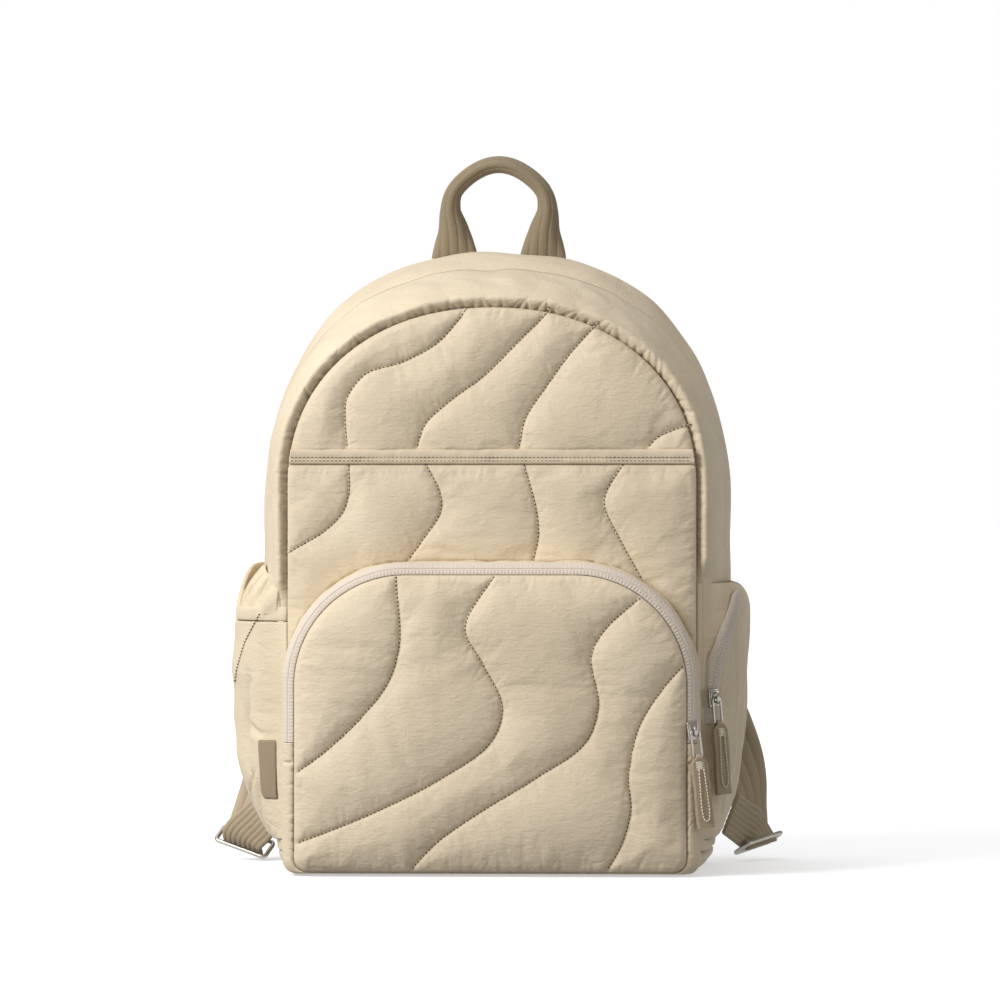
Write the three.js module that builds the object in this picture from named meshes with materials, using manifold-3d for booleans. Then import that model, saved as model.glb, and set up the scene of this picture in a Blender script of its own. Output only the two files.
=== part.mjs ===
// A quilted puffer backpack standing on its base, as separate named pieces.
// Millimetres, +Z up, the front faces -Y. The origin is the middle of the base's underside.
import * as THREE from 'three';
import Module from 'manifold-3d';

const wasm = await Module();
wasm.setup();

// Driving dimensions of the body
const bodyDepth = 120;            // from the front seam to the back seam
const frontWidth = 263;           // across the front seam
const frontHeight = 364;          // top of the front seam
const frontShoulder = 0.687 * frontHeight; // where the front seam starts to curve in
const backWidth = 298;            // across the back seam
const backHeight = 401;           // top of the back seam
const backShoulder = 0.529 * backHeight; // where the back seam starts to curve in
const puffSize = 12;              // how far the padded wall swells out of its seams
const footRadius = 14;            // rounding between the base and the sides
const wall = 9;                   // padded wall of the gusset
const baseWall = 4;               // cloth and stiffener of the base
const gatherPitch = 16;           // one ruche of the gathered rim
const gatherHeight = 1.3;
const clearance = 0.3;            // between pieces that are sewn together

// Driving dimensions of the front
const seamEdge = 2.6;             // panel thickness along a seam
const quiltPuff = 7;              // rise of a quilted channel over its seams
const slipPuff = 6;
const slipMouth = 0.736 * frontHeight; // height of the slip pocket's upper edge
const bindingHeight = 9.5;
const bindingThickness = 2.2;
const pocketInset = 6.2;          // from the body's seam to the seam of the front pocket's panel
const pocketTop = 0.5275 * frontHeight;
const pocketBottom = 2.5;
const pocketCorner = 0.37 * pocketTop; // rounding of the pocket's upper corners
const pocketFoot = 9;             // rounding of its lower corners
const pocketDepth = 22;           // wall of the pocket, from the slip panel to the zip
const pocketPuff = 7;
const pocketDome = 4;             // how far its filling pushes the panel out
const domeReach = 45;             // distance over which it swells up from the seam
const pocketSeat = 1;             // flat margin of the slip panel round the pocket's wall
const sideField = 4;              // least width of the slip panel beside the pocket
const footGrow = 1.5;             // how far the pocket's wall reaches below its panel
const pocketCloth = 2.4;
const zipWidth = 7.7;             // zip tape as it shows, from seam to seam
const zipSlope = 5;               // how far the tape leans forward over its width
const zipTape = 1.4;
const coilHeight = 1.6;
const zipEnd = 85;                // height at which both ends of the pocket's zip stop
const pullAbove = 8;              // the closed slider stands this far above the zip's end

// Driving dimensions of the side pockets
const bottleTop = 171;            // mouth of the bottle pocket at its front
const bottleRise = 28;            // how much higher the mouth runs at the back
const bottleBulge = 20;
const zipPocketTop = 187;
const zipPocketBulge = 13;
const sideCloth = 3;
const sidePocketFoot = 21;        // lower seam of both side pockets
const hemHeight = 9;
const hemThickness = 4.4;
const labelHeight = 38;
const labelFoot = 47;
const labelThickness = 1.1;
const labelCorner = 3;            // rounding of its free lower corner
const bunchRise = 20;             // gathered cloth above the bottle pocket's mouth
const bunchFull = 7;
const zipSeat = 1.5;              // stand of the side zip's flat back over the curved panel

// Driving dimensions of the straps
const webbingWidth = 30;
const webbingThickness = 3.2;
const ribCount = 5;
const adjusterRibs = 8;
const ribDepth = 0.7;
const webbingCrown = 0.4;         // the face stands slightly higher in the middle
const handleRise = 65;            // top of the handle above the back seam
const handleSpread = 56;          // between the middles of its two feet
const handleRoll = 5.0;           // angle in radians to which its middle is rolled up
const handlePinch = 0.72;         // how much the roll is flattened from side to side
const shoulderWidth = 56;
const shoulderThickness = 9;
const strapReach = 34;            // how far the shoulder straps stand off the back
const buckleLength = 40;
const buckleWidth = 17;
const buckleWire = 3;
const adjusterGap = 7.5;          // between the adjuster's upper end and the side of the body
const backPuff = 8;

// Driving dimensions of the zip pulls
const sliderWidth = 8;
const sliderLength = 12;
const sliderThickness = 3.2;
const linkLength = 18;
const linkWidth = 7.4;
const linkWire = 1.6;
const tabWidth = 11;
const tabLength = 46;
const tabThickness = 1.8;
const bailWire = 1.4;             // the slider's bail, through which the link hangs
const buckleCorner = 2.5;         // rounding of a buckle's corners, to the middle of its wire

// Places that follow from the dimensions
const frontHalf = frontWidth / 2;
const backHalf = backWidth / 2;
const frontPlane = -bodyDepth / 2;
const backPlane = bodyDepth / 2;
const panelPlane = frontPlane - clearance;
const slipPlane = panelPlane - seamEdge - clearance;
const pocketPlane = slipPlane - seamEdge - clearance;
const zipPlane = pocketPlane - pocketDepth;
const seamPlane = zipPlane - zipSlope;
const backPanelPlane = backPlane + clearance;
const pocketHalf = frontHalf - pocketInset;

const cloth = (color) => new THREE.MeshStandardMaterial({ color, roughness: 0.82, metalness: 0 });
const nylon = cloth(0xcfc0a9);
const binding = cloth(0xcabba4);
const zipCloth = cloth(0xbdb0a2);
const grosgrain = cloth(0xa59680);
const labelCloth = cloth(0xa08d76);
const metal = new THREE.MeshStandardMaterial({ color: 0xc9c9c9, roughness: 0.22, metalness: 1 });

const group = new THREE.Group();

function addPiece(name, geometry, material) {
  const mesh = new THREE.Mesh(geometry, material);
  mesh.name = name;
  group.add(mesh);
  return mesh;
}

const lerp = THREE.MathUtils.lerp;
const clamp = THREE.MathUtils.clamp;

// Straight interpolation in a table of rows, by the column named key.
function fromTable(rows, key, at, column) {
  let k = 0;
  while (k < rows.length - 2 && rows[k + 1][key] < at) k += 1;
  const share = clamp((at - rows[k][key]) / (rows[k + 1][key] - rows[k][key]), 0, 1);
  return lerp(rows[k][column], rows[k + 1][column], share);
}

// Collects faces, merges equal corners and gives an indexed geometry.
class FaceSet {
  constructor() {
    this.points = [];
    this.index = new Map();
    this.faces = [];
  }

  corner(p) {
    const key = p.toArray().map((v) => Math.round(v * 1e4)).join();
    if (!this.index.has(key)) {
      this.index.set(key, this.points.length);
      this.points.push(p.clone());
    }
    return this.index.get(key);
  }

  triangle(a, b, c) {
    if (a !== b && b !== c && c !== a) this.faces.push([a, b, c]);
  }

  quad(a, b, c, d) {
    this.triangle(a, b, c);
    this.triangle(a, c, d);
  }

  // The one loop of edges that only one face uses, in the faces' own direction.
  border() {
    const next = new Map();
    const used = new Set(this.faces.flatMap(([a, b, c]) => [`${a},${b}`, `${b},${c}`, `${c},${a}`]));
    for (const [a, b, c] of this.faces) {
      for (const [p, q] of [[a, b], [b, c], [c, a]]) {
        if (!used.has(`${q},${p}`)) next.set(p, q);
      }
    }
    const loop = [next.keys().next().value];
    while (next.get(loop[loop.length - 1]) !== loop[0]) loop.push(next.get(loop[loop.length - 1]));
    return loop;
  }

  geometry() {
    const geometry = new THREE.BufferGeometry();
    geometry.setAttribute('position', new THREE.Float32BufferAttribute(this.points.flatMap((p) => p.toArray()), 3));
    geometry.setIndex(this.faces.flat());
    if (signedVolume(geometry) < 0) geometry.setIndex(this.faces.flatMap(([a, b, c]) => [a, c, b]));
    geometry.computeVertexNormals();
    return geometry;
  }
}

function signedVolume(geometry) {
  const position = geometry.getAttribute('position');
  const index = geometry.getIndex();
  const corners = [new THREE.Vector3(), new THREE.Vector3(), new THREE.Vector3()];
  let sum = 0;
  for (let i = 0; i < index.count; i += 3) {
    corners.forEach((corner, k) => corner.fromBufferAttribute(position, index.getX(i + k)));
    sum += corners[0].dot(corners[1].clone().cross(corners[2])) / 6;
  }
  return sum;
}

// A closed solid through sections that all have the same number of points.
function loft(sections, closed = false) {
  const faces = new FaceSet();
  const rings = sections.map((section) => section.map((p) => faces.corner(p)));
  const count = rings[0].length;
  const spans = closed ? rings.length : rings.length - 1;
  for (let k = 0; k < spans; k += 1) {
    const here = rings[k];
    const there = rings[(k + 1) % rings.length];
    for (let i = 0; i < count; i += 1) {
      const j = (i + 1) % count;
      faces.quad(here[i], there[i], there[j], here[j]);
    }
  }
  if (!closed) {
    capSection(faces, sections[0], rings[0], false);
    capSection(faces, sections[sections.length - 1], rings[rings.length - 1], true);
  }
  return faces.geometry();
}

// Triangles over a flat outline, all turning anticlockwise.
function fill(flat) {
  return THREE.ShapeUtils.triangulateShape(flat, []).map(([a, b, c]) => {
    const turn = THREE.ShapeUtils.area([flat[a], flat[b], flat[c]]);
    return turn < 0 ? [a, c, b] : [a, b, c];
  });
}

// Fills one end of a loft, seen along the section's own normal.
function capSection(faces, section, ring, flip) {
  const normal = new THREE.Vector3();
  section.forEach((p, i) => normal.add(p.clone().cross(section[(i + 1) % section.length])));
  normal.normalize();
  const across = section[1].clone().sub(section[0]).projectOnPlane(normal).normalize();
  const up = normal.clone().cross(across);
  const flat = section.map((p) => new THREE.Vector2(p.dot(across), p.dot(up)));
  for (const [a, b, c] of fill(flat)) {
    if (flip) faces.triangle(ring[a], ring[c], ring[b]);
    else faces.triangle(ring[a], ring[b], ring[c]);
  }
}

// Union of two closed geometries.
function join(first, second) {
  const [a, b] = [first, second].map((geometry) => new wasm.Manifold(new wasm.Mesh({
    numProp: 3,
    vertProperties: new Float32Array(geometry.getAttribute('position').array),
    triVerts: new Uint32Array(geometry.getIndex().array),
  })));
  const mesh = a.add(b).getMesh();
  const geometry = new THREE.BufferGeometry();
  geometry.setAttribute('position', new THREE.BufferAttribute(mesh.vertProperties, 3));
  geometry.setIndex(new THREE.BufferAttribute(mesh.triVerts, 1));
  geometry.computeVertexNormals();
  return geometry;
}

// Body outline at a share of the depth. grow runs from the front seam (0) to the back seam (1),
// puff is the swelling as a share of puffSize.
const frontRows = [
  { depth: 0.0, grow: 0.0, puff: 0.0 },
  { depth: 0.07, grow: 0.07, puff: 0.72 },
  { depth: 0.17, grow: 0.17, puff: 0.97 },
  { depth: 0.3, grow: 0.3, puff: 0.97 },
  { depth: 0.45, grow: 0.45, puff: 0.9 },
];
const backRows = [
  { depth: 0.45, grow: 0.45, puff: 0.52 },
  { depth: 0.62, grow: 0.62, puff: 0.78 },
  { depth: 0.8, grow: 0.8, puff: 0.72 },
  { depth: 0.93, grow: 0.93, puff: 0.44 },
  { depth: 1.0, grow: 1.0, puff: 0.0 },
];
const footShare = 0.55;           // share of the widening that is left at the foot
const shoulderPower = 2.15;       // superellipse of the front seam's shoulder
const backPower = 2.46;

function bodySize(row, inset) {
  const half = lerp(frontHalf, backHalf, row.grow) + puffSize * row.puff;
  return {
    half: half - inset,
    foot: frontHalf + (half - frontHalf) * footShare - inset,
    height: lerp(frontHeight, backHeight, row.grow) + puffSize * row.puff - inset,
    shoulder: lerp(frontShoulder, backShoulder, row.grow),
    power: lerp(shoulderPower, backPower, row.grow),
    y: frontPlane + bodyDepth * row.depth,
  };
}

// Half width of the body at a height below the shoulder.
function sideAt(size, z) {
  const share = clamp((z - footRadius) / (size.shoulder - footRadius), 0, 1);
  return size.foot + (size.half - size.foot) * Math.sin((Math.PI / 2) * share);
}

// A point of the arch: share 0 is the left foot, 0.5 the top and 1 the right foot.
// The side takes sideShare of each half.
const sideShare = 0.5;

function archPoint(size, share, outward = 0) {
  const mirrored = share > 0.5;
  const half = (mirrored ? 1 - share : share) * 2;
  let x;
  let z;
  if (half <= sideShare) {
    z = lerp(footRadius, size.shoulder, half / sideShare);
    x = sideAt(size, z) + outward;
  } else {
    const angle = ((half - sideShare) / (1 - sideShare)) * (Math.PI / 2);
    x = (size.half + outward) * Math.cos(angle) ** (2 / size.power);
    z = size.shoulder + (size.height + outward - size.shoulder) * Math.sin(angle) ** (2 / size.power);
    if (half > 1 - 1e-9) x = 0;
  }
  return new THREE.Vector3(mirrored ? x : -x, size.y, z);
}

// One band of the gusset, lofted round the arch from foot to foot.
function gussetBand(rows, columns, gathered) {
  const sections = [];
  for (let k = 0; k <= columns; k += 1) {
    const share = k / columns;
    const ruche = gathered && k % 2 === 1 && k > 1 && k < columns - 1 ? gatherHeight : 0;
    const outer = rows.map((row, i) => archPoint(bodySize(row, 0), share, i === 1 ? ruche : -ruche * (i === 2 ? 0.6 : 0)));
    const inner = [rows[rows.length - 1], rows[0]].map((row) => archPoint(bodySize(row, wall), share));
    sections.push([...outer, ...inner]);
  }
  return loft(sections);
}

const archLength = 2 * (frontShoulder - footRadius) + Math.PI * ((frontHalf + frontHeight - frontShoulder) / 2);
const gatherColumns = 2 * Math.round(archLength / gatherPitch);
addPiece('gusset_front_band', gussetBand(frontRows, gatherColumns, true), nylon);

const backBandRows = backRows.map((row, i) => (i > 0 ? row : { ...row, depth: row.depth + clearance / bodyDepth }));
addPiece('gusset_back_band', gussetBand(backBandRows, 40, false), nylon);

// The base turns up at both sides to meet the gusset's feet.
function basePanel() {
  const arcSteps = 5;
  const rows = [...frontRows, ...backRows.slice(1)];
  const stop = Math.asin(1 - clearance / footRadius);
  const sections = rows.map((row) => {
    const size = bodySize(row, 0);
    const path = (inset) => {
      const points = [];
      for (const side of [-1, 1]) {
        for (let k = 0; k <= arcSteps; k += 1) {
          const angle = stop * ((side < 0 ? arcSteps - k : k) / arcSteps);
          const reach = size.foot - footRadius + (footRadius - inset) * Math.sin(angle);
          const z = footRadius - (footRadius - inset) * Math.cos(angle);
          points.push(new THREE.Vector3(side * reach, size.y, z));
        }
      }
      return points;
    };
    return [...path(0), ...path(baseWall).reverse()];
  });
  return loft(sections);
}
addPiece('base_panel', basePanel(), nylon);

// A closed outline as a dense line, on which stretches between two places can be sampled.
class Outline {
  constructor(points) {
    this.points = points;
    this.lengths = [0];
    points.forEach((p, i) => {
      this.lengths.push(this.lengths[i] + p.distanceTo(points[(i + 1) % points.length]));
    });
    this.total = this.lengths[points.length];
  }

  // Length along the outline of the place nearest to a point.
  nearest(target) {
    let best = Infinity;
    let at = 0;
    this.points.forEach((p, i) => {
      const q = this.points[(i + 1) % this.points.length];
      const edge = q.clone().sub(p);
      const share = clamp(target.clone().sub(p).dot(edge) / Math.max(edge.lengthSq(), 1e-9), 0, 1);
      const distance = p.clone().addScaledVector(edge, share).distanceTo(target);
      if (distance < best) {
        best = distance;
        at = this.lengths[i] + share * edge.length();
      }
    });
    this.distance = best;
    return at;
  }

  at(length) {
    const wrapped = ((length % this.total) + this.total) % this.total;
    let i = 0;
    while (i < this.points.length - 1 && this.lengths[i + 1] < wrapped) i += 1;
    const span = this.lengths[i + 1] - this.lengths[i];
    const share = span > 0 ? (wrapped - this.lengths[i]) / span : 0;
    return this.points[i].clone().lerp(this.points[(i + 1) % this.points.length], share);
  }

  // Points from one place to another, the shorter way round, at given shares of the way.
  // A corner between them keeps its own point.
  between(from, to, shares, corners = []) {
    const start = this.nearest(from);
    let way = this.nearest(to) - start;
    if (way > this.total / 2) way -= this.total;
    if (way < -this.total / 2) way += this.total;
    const points = shares.map((share) => this.at(start + way * share));
    for (const corner of corners) {
      const gaps = points.map((p) => p.distanceTo(corner));
      const closest = gaps.indexOf(Math.min(...gaps));
      const inside = closest > 0 && closest < points.length - 1;
      if (inside && gaps[closest] < Math.abs(way) / shares.length) points[closest] = corner.clone();
    }
    return points;
  }
}

const v2 = (x, z) => new THREE.Vector2(x, z);
const evenly = (steps) => Array.from({ length: steps + 1 }, (_, i) => i / steps);
const acrossShares = [0, 0.14, 0.32, 0.5, 0.68, 0.86, 1];
const alongSteps = 12;
const along = evenly(alongSteps);

// Rise of a quilted channel: 0 on both seams, 1 in the middle.
function channelRise(share) {
  return Math.sqrt(Math.max(0, 1 - (2 * share - 1) ** 2));
}

// One quilted channel between two seams a and b, with its ends from a[0] to b[0] and from a[last] to b[last].
function addChannel(faces, { a, b, start, end }, lift) {
  const [lastRow, lastStep] = [a.length - 1, acrossShares.length - 1];
  const onBorder = (i, j) => {
    if (i === 0) return start[j];
    if (i === lastRow) return end[j];
    return j === 0 ? a[i] : b[i];
  };
  const rows = a.map((_, i) => {
    const q = i / lastRow;
    return acrossShares.map((t, j) => {
      if (i === 0 || i === lastRow || j === 0 || j === lastStep) return faces.corner(lift(onBorder(i, j), 0));
      const flat = a[i].clone().multiplyScalar(1 - t).addScaledVector(b[i], t);
      flat.addScaledVector(start[j], 1 - q).addScaledVector(end[j], q);
      flat.addScaledVector(a[0], -(1 - q) * (1 - t)).addScaledVector(b[0], -(1 - q) * t);
      flat.addScaledVector(a[a.length - 1], -q * (1 - t)).addScaledVector(b[b.length - 1], -q * t);
      const fade = channelRise(clamp(Math.min(q, 1 - q) * 3, 0, 0.5));
      return faces.corner(lift(flat, channelRise(t) * fade));
    });
  });
  for (let i = 0; i < rows.length - 1; i += 1) {
    for (let j = 0; j < acrossShares.length - 1; j += 1) {
      faces.quad(rows[i][j], rows[i][j + 1], rows[i + 1][j + 1], rows[i + 1][j]);
    }
  }
}

// Fills a flat ring of corners with triangles round its middle.
function fan(faces, ring, reverse) {
  const middle = ring.reduce((sum, i) => sum.add(faces.points[i]), new THREE.Vector3()).divideScalar(ring.length);
  const centre = faces.corner(middle);
  ring.forEach((i, k) => {
    const next = ring[(k + 1) % ring.length];
    if (reverse) faces.triangle(next, i, centre);
    else faces.triangle(i, next, centre);
  });
}

// A padded panel: quilted channels and one flat field on one side, a plane on the other.
function paddedPanel({ channels, field, lift, plane }) {
  const faces = new FaceSet();
  channels.forEach((channel) => addChannel(faces, channel, lift));
  if (field) {
    const ring = field.map((p) => faces.corner(lift(p, 0)));
    fan(faces, ring, THREE.ShapeUtils.area(field) * channelTurn(channels) < 0);
  }
  const loop = faces.border();
  const behind = loop.map((i) => faces.corner(new THREE.Vector3(faces.points[i].x, plane, faces.points[i].z)));
  loop.forEach((i, k) => {
    const next = (k + 1) % loop.length;
    faces.quad(i, behind[k], behind[next], loop[next]);
  });
  fan(faces, behind, true);
  return faces.geometry();
}

// The direction in which the channels' faces turn, as a sign.
function channelTurn(channels) {
  const { a, b, start } = channels.find((channel) => channel.start[0].distanceTo(channel.start[1]) > 1);
  const ring = [a[0], start[start.length - 1], b[1], a[1]];
  return Math.sign(THREE.ShapeUtils.area(ring));
}

// A quilt seam through a few places given as shares of a half width and a height.
function seamLine(rows, half, height, steps = alongSteps) {
  const curve = new THREE.SplineCurve(rows.map(({ across, up }) => v2(across * half, up * height)));
  return curve.getSpacedPoints(steps);
}

// Ends of a seam line are drawn onto the outline or onto a level edge.
function endOnOutline(line, index, outline) {
  line[index] = outline.at(outline.nearest(line[index]));
}

// The front panel's outline: feet, sides and arch, from the left foot round to the right foot.
function bodyOutline() {
  const size = bodySize(frontRows[0], 0);
  const steps = 72;
  const points = evenly(steps).map((share) => archPoint(size, share)).map((p) => v2(p.x, p.z));
  const foot = evenly(4).map((share) => {
    const angle = (share * Math.PI) / 2;
    return v2(size.foot - footRadius + footRadius * Math.cos(angle), footRadius - footRadius * Math.sin(angle));
  });
  return [...points, ...foot.slice(1), ...foot.slice(1).reverse().map((p) => v2(-p.x, p.y))];
}

const bodyLine = new Outline(bodyOutline());
const bindingTop = slipMouth + bindingHeight / 2;
const bindingFoot = slipMouth - bindingHeight / 2;

// Quilt seams of the upper front, as shares of half the seam width and of the seam height.
const upperSeams = [
  [[-0.139, 0.995], [-0.272, 0.936], [-0.436, 0.904], [-0.619, 0.882], [-0.713, 0.837], [-0.708, 0.756]],
  [[0.262, 0.995], [0.131, 0.94], [-0.035, 0.88], [-0.203, 0.835], [-0.327, 0.793], [-0.369, 0.758]],
  [[0.515, 0.972], [0.381, 0.917], [0.262, 0.858], [0.166, 0.804], [0.131, 0.758]],
  [[0.95, 0.791], [0.86, 0.778], [0.812, 0.77], [0.772, 0.758]],
].map((rows) => rows.map(([across, up]) => ({ across, up })));

function mouthCorner(side, height) {
  const target = v2(side * frontHalf, height);
  const level = bodyLine.points.filter((p) => Math.sign(p.x) === side && p.y > footRadius);
  level.sort((p, q) => Math.abs(p.y - height) - Math.abs(q.y - height));
  const [near, next] = level;
  const share = (height - near.y) / (next.y - near.y);
  target.x = lerp(near.x, next.x, share);
  return target;
}

function straight(from, to, shares) {
  return shares.map((share) => from.clone().lerp(to, share));
}

function frontPanel() {
  const seamFoot = bindingTop + clearance;
  const leftEnd = mouthCorner(-1, seamFoot);
  const rightEnd = mouthCorner(1, seamFoot);
  const lines = upperSeams.map((rows) => seamLine(rows, frontHalf, frontHeight));
  for (const line of lines) {
    endOnOutline(line, 0, bodyLine);
    line[alongSteps].y = seamFoot;
  }
  const first = bodyLine.between(lines[0][0], leftEnd, along);
  const last = bodyLine.between(lines[3][0], rightEnd, along);
  const seams = [first, ...lines, last];
  const channels = seams.slice(1).map((b, k) => {
    const a = seams[k];
    return {
      a,
      b,
      start: bodyLine.between(a[0], b[0], acrossShares),
      end: straight(a[alongSteps], b[alongSteps], acrossShares),
    };
  });
  const mouth = channels.flatMap((channel, k) => channel.end.slice(k > 0 ? 1 : 0));
  const lower = bodyLine.points.filter((p) => p.y < seamFoot - 1);
  const right = lower.filter((p) => p.x > 0).sort(roundTheFoot);
  const left = lower.filter((p) => p.x < 0).sort(roundTheFoot).reverse();
  const field = [...mouth, ...right, ...left];
  const lift = (p, rise) => new THREE.Vector3(p.x, panelPlane - seamEdge - quiltPuff * rise, p.y);
  return paddedPanel({ channels, field, lift, plane: panelPlane });
}

// Order of outline points from the mouth down the side and in along the foot.
function roundTheFoot(p, q) {
  return Math.abs(q.y - p.y) > 1e-6 ? q.y - p.y : Math.abs(q.x) - Math.abs(p.x);
}
addPiece('front_panel', frontPanel(), nylon);

// Rounded outline of the front pocket, grown by a margin at the sides and the top.
// It runs from the middle of the foot up the left side, over the top and down the right side.
function pocketOutline(margin, footMargin) {
  const half = pocketHalf + margin;
  const arc = (centreX, centreZ, radiusX, radiusZ, from, to, steps) => evenly(steps).map((share) => {
    const angle = lerp(from, to, share);
    return v2(centreX + radiusX * Math.cos(angle), centreZ + radiusZ * Math.sin(angle));
  });
  const footX = half - pocketFoot;
  const footZ = pocketBottom + pocketFoot;
  const topX = pocketHalf - pocketCorner;
  const topZ = pocketTop - pocketCorner;
  const leftSide = straight(v2(-half, footZ), v2(-half, topZ), evenly(5)).slice(1, -1);
  const topEdge = straight(v2(-topX, pocketTop + margin), v2(0, pocketTop + margin), evenly(4)).slice(1);
  const leftHalf = [
    ...arc(-footX, footZ, pocketFoot, pocketFoot + footMargin, 1.5 * Math.PI, Math.PI, 4),
    ...leftSide,
    ...arc(-topX, topZ, pocketCorner + margin, pocketCorner + margin, Math.PI, Math.PI / 2, 9),
    ...topEdge,
  ];
  const rightHalf = leftHalf.slice(0, -1).reverse().map((p) => v2(-p.x, p.y));
  return [...leftHalf, ...rightHalf];
}

// Quilt seams of the slip pocket's panel, shares as above. The first ends on the left side,
// the others on the seam of the front pocket.
const slipSeams = [
  [[-0.705, 0.736], [-0.698, 0.68], [-0.728, 0.639], [-0.817, 0.605], [-1.0, 0.566]],
  [[-0.347, 0.736], [-0.257, 0.676], [-0.248, 0.641], [-0.337, 0.589], [-0.436, 0.547]],
  [[0.146, 0.736], [0.213, 0.65], [0.228, 0.596], [0.193, 0.549]],
  [[0.663, 0.736], [0.554, 0.667], [0.554, 0.644], [0.619, 0.595], [0.748, 0.519]],
].map((rows) => rows.map(([across, up]) => ({ across, up })));

const pocketOuter = zipWidth + clearance;
const pocketBase = new Outline(pocketOutline(pocketOuter + pocketSeat, footGrow));

// Height at which the pocket's outline leaves the side of the body, measured on the left.
function wedgeHeight() {
  const tallest = pocketTop - pocketCorner;
  for (let z = pocketTop; z > tallest; z -= 1) {
    const x = mouthCorner(-1, z).x;
    const reach = pocketHalf - pocketCorner + Math.sqrt(Math.max(0, (pocketCorner + pocketOuter) ** 2 - (z - tallest) ** 2));
    if (reach > -x - sideField) return z;
  }
  return tallest;
}

function slipPanel() {
  const top = bindingFoot - clearance;
  const wedge = wedgeHeight();
  const [leftTop, rightTop] = [-1, 1].map((side) => mouthCorner(side, top));
  const [leftWedge, rightWedge] = [-1, 1].map((side) => mouthCorner(side, wedge));
  const lines = slipSeams.map((rows) => seamLine(rows, frontHalf, frontHeight));
  const turn = 8;
  lines[0] = seamLine(slipSeams[0], frontHalf, frontHeight, turn);
  lines[0][0].y = top;
  endOnOutline(lines[0], turn, bodyLine);
  for (const line of lines.slice(1)) {
    line[0].y = top;
    endOnOutline(line, alongSteps, pocketBase);
  }
  const aboveFirst = bodyLine.between(leftTop, lines[0][turn], evenly(turn));
  const belowFirst = bodyLine.between(lines[0][turn], leftWedge, evenly(alongSteps - turn)).slice(1);
  const rightSide = bodyLine.between(rightTop, rightWedge, along);
  const firstLong = [...lines[0], ...belowFirst];
  const seams = [firstLong, ...lines.slice(1), rightSide];
  const still = acrossShares.map(() => lines[0][turn].clone());
  const channels = [{ a: aboveFirst, b: lines[0], start: straight(leftTop, lines[0][0], acrossShares), end: still }];
  seams.slice(1).forEach((b, k) => {
    const a = seams[k];
    const end = pocketBase.between(a[alongSteps], b[alongSteps], acrossShares);
    end[0] = a[alongSteps];
    end[end.length - 1] = b[alongSteps];
    channels.push({ a, b, start: straight(a[0], b[0], acrossShares), end });
  });
  const arc = channels.slice(1).flatMap((channel, k) => channel.end.slice(k > 0 ? 1 : 0));
  const lower = bodyLine.points.filter((p) => p.y < wedge - 1);
  const right = lower.filter((p) => p.x > 0).sort(roundTheFoot);
  const left = lower.filter((p) => p.x < 0).sort(roundTheFoot).reverse();
  const lift = (p, rise) => new THREE.Vector3(p.x, slipPlane - seamEdge - slipPuff * rise, p.y);
  return paddedPanel({ channels, field: [...arc, ...right, ...left], lift, plane: slipPlane });
}
addPiece('slip_pocket_panel', slipPanel(), nylon);

// The binding runs along the slip panel's upper edge, from side to side.
function slipBinding() {
  const lip = 1;                  // rounding of its two long edges
  const front = slipPlane - seamEdge - bindingThickness;
  const sections = evenly(12).map((share) => {
    const at = lerp(-1, 1, share);
    const place = (z, y) => new THREE.Vector3(mouthCorner(1, z).x * at, y, z);
    return [
      place(bindingFoot, slipPlane),
      place(bindingFoot, front + lip),
      place(bindingFoot + lip, front),
      place(bindingTop - lip, front),
      place(bindingTop, front + lip),
      place(bindingTop, slipPlane),
    ];
  });
  return loft(sections);
}
addPiece('slip_pocket_binding', slipBinding(), binding);

// The ring between the slip panel and the pocket's zip.
function pocketGusset() {
  const outer = pocketOutline(pocketOuter, footGrow);
  const inner = pocketOutline(pocketOuter - pocketCloth, footGrow - pocketCloth);
  const front = zipPlane + zipTape + clearance;
  return loft(outer.map((p, k) => [
    new THREE.Vector3(p.x, pocketPlane, p.y),
    new THREE.Vector3(p.x, front, p.y),
    new THREE.Vector3(inner[k].x, front, inner[k].y),
    new THREE.Vector3(inner[k].x, pocketPlane, inner[k].y),
  ]), true);
}
addPiece('front_pocket_gusset', pocketGusset(), nylon);

// A point beside the pocket panel's seam: the tape leans forward as it nears the panel.
function tapePoint(seam, edge, share, raise) {
  const p = seam.clone().lerp(edge, share);
  return new THREE.Vector3(p.x, lerp(seamPlane, zipPlane, share) - raise, p.y);
}

// Places along the pocket's seam with their partners on the outer edge of the tape
// and on the inner face of the wall behind it.
function tapePlaces(keep) {
  const seam = pocketOutline(clearance, clearance);
  const edge = pocketOutline(zipWidth, footGrow);
  const inner = pocketOutline(zipWidth - zipTape, footGrow - zipTape);
  const cut = (line, i, j) => {
    const share = (zipEnd - line[i].y) / (line[j].y - line[i].y);
    return line[i].clone().lerp(line[j], share);
  };
  const places = [];
  seam.forEach((p, i) => {
    const j = (i + 1) % seam.length;
    if (keep(p.y)) places.push([p, edge[i], inner[i]]);
    const crosses = (p.y - zipEnd) * (seam[j].y - zipEnd) < 0;
    if (crosses) places.push([seam, edge, inner].map((line) => cut(line, i, j)));
  });
  return places;
}

function pocketZip() {
  const sections = tapePlaces((z) => z > zipEnd).map(([seam, edge]) => [
    tapePoint(seam, edge, 0, 0),
    tapePoint(seam, edge, 0.3, 0),
    tapePoint(seam, edge, 0.4, coilHeight),
    tapePoint(seam, edge, 0.6, coilHeight),
    tapePoint(seam, edge, 0.7, 0),
    tapePoint(seam, edge, 1, 0),
    tapePoint(seam, edge, 1, -zipTape),
    tapePoint(seam, edge, 0, -zipTape),
  ]);
  return loft(sections);
}
addPiece('front_pocket_zip', pocketZip(), zipCloth);

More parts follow.
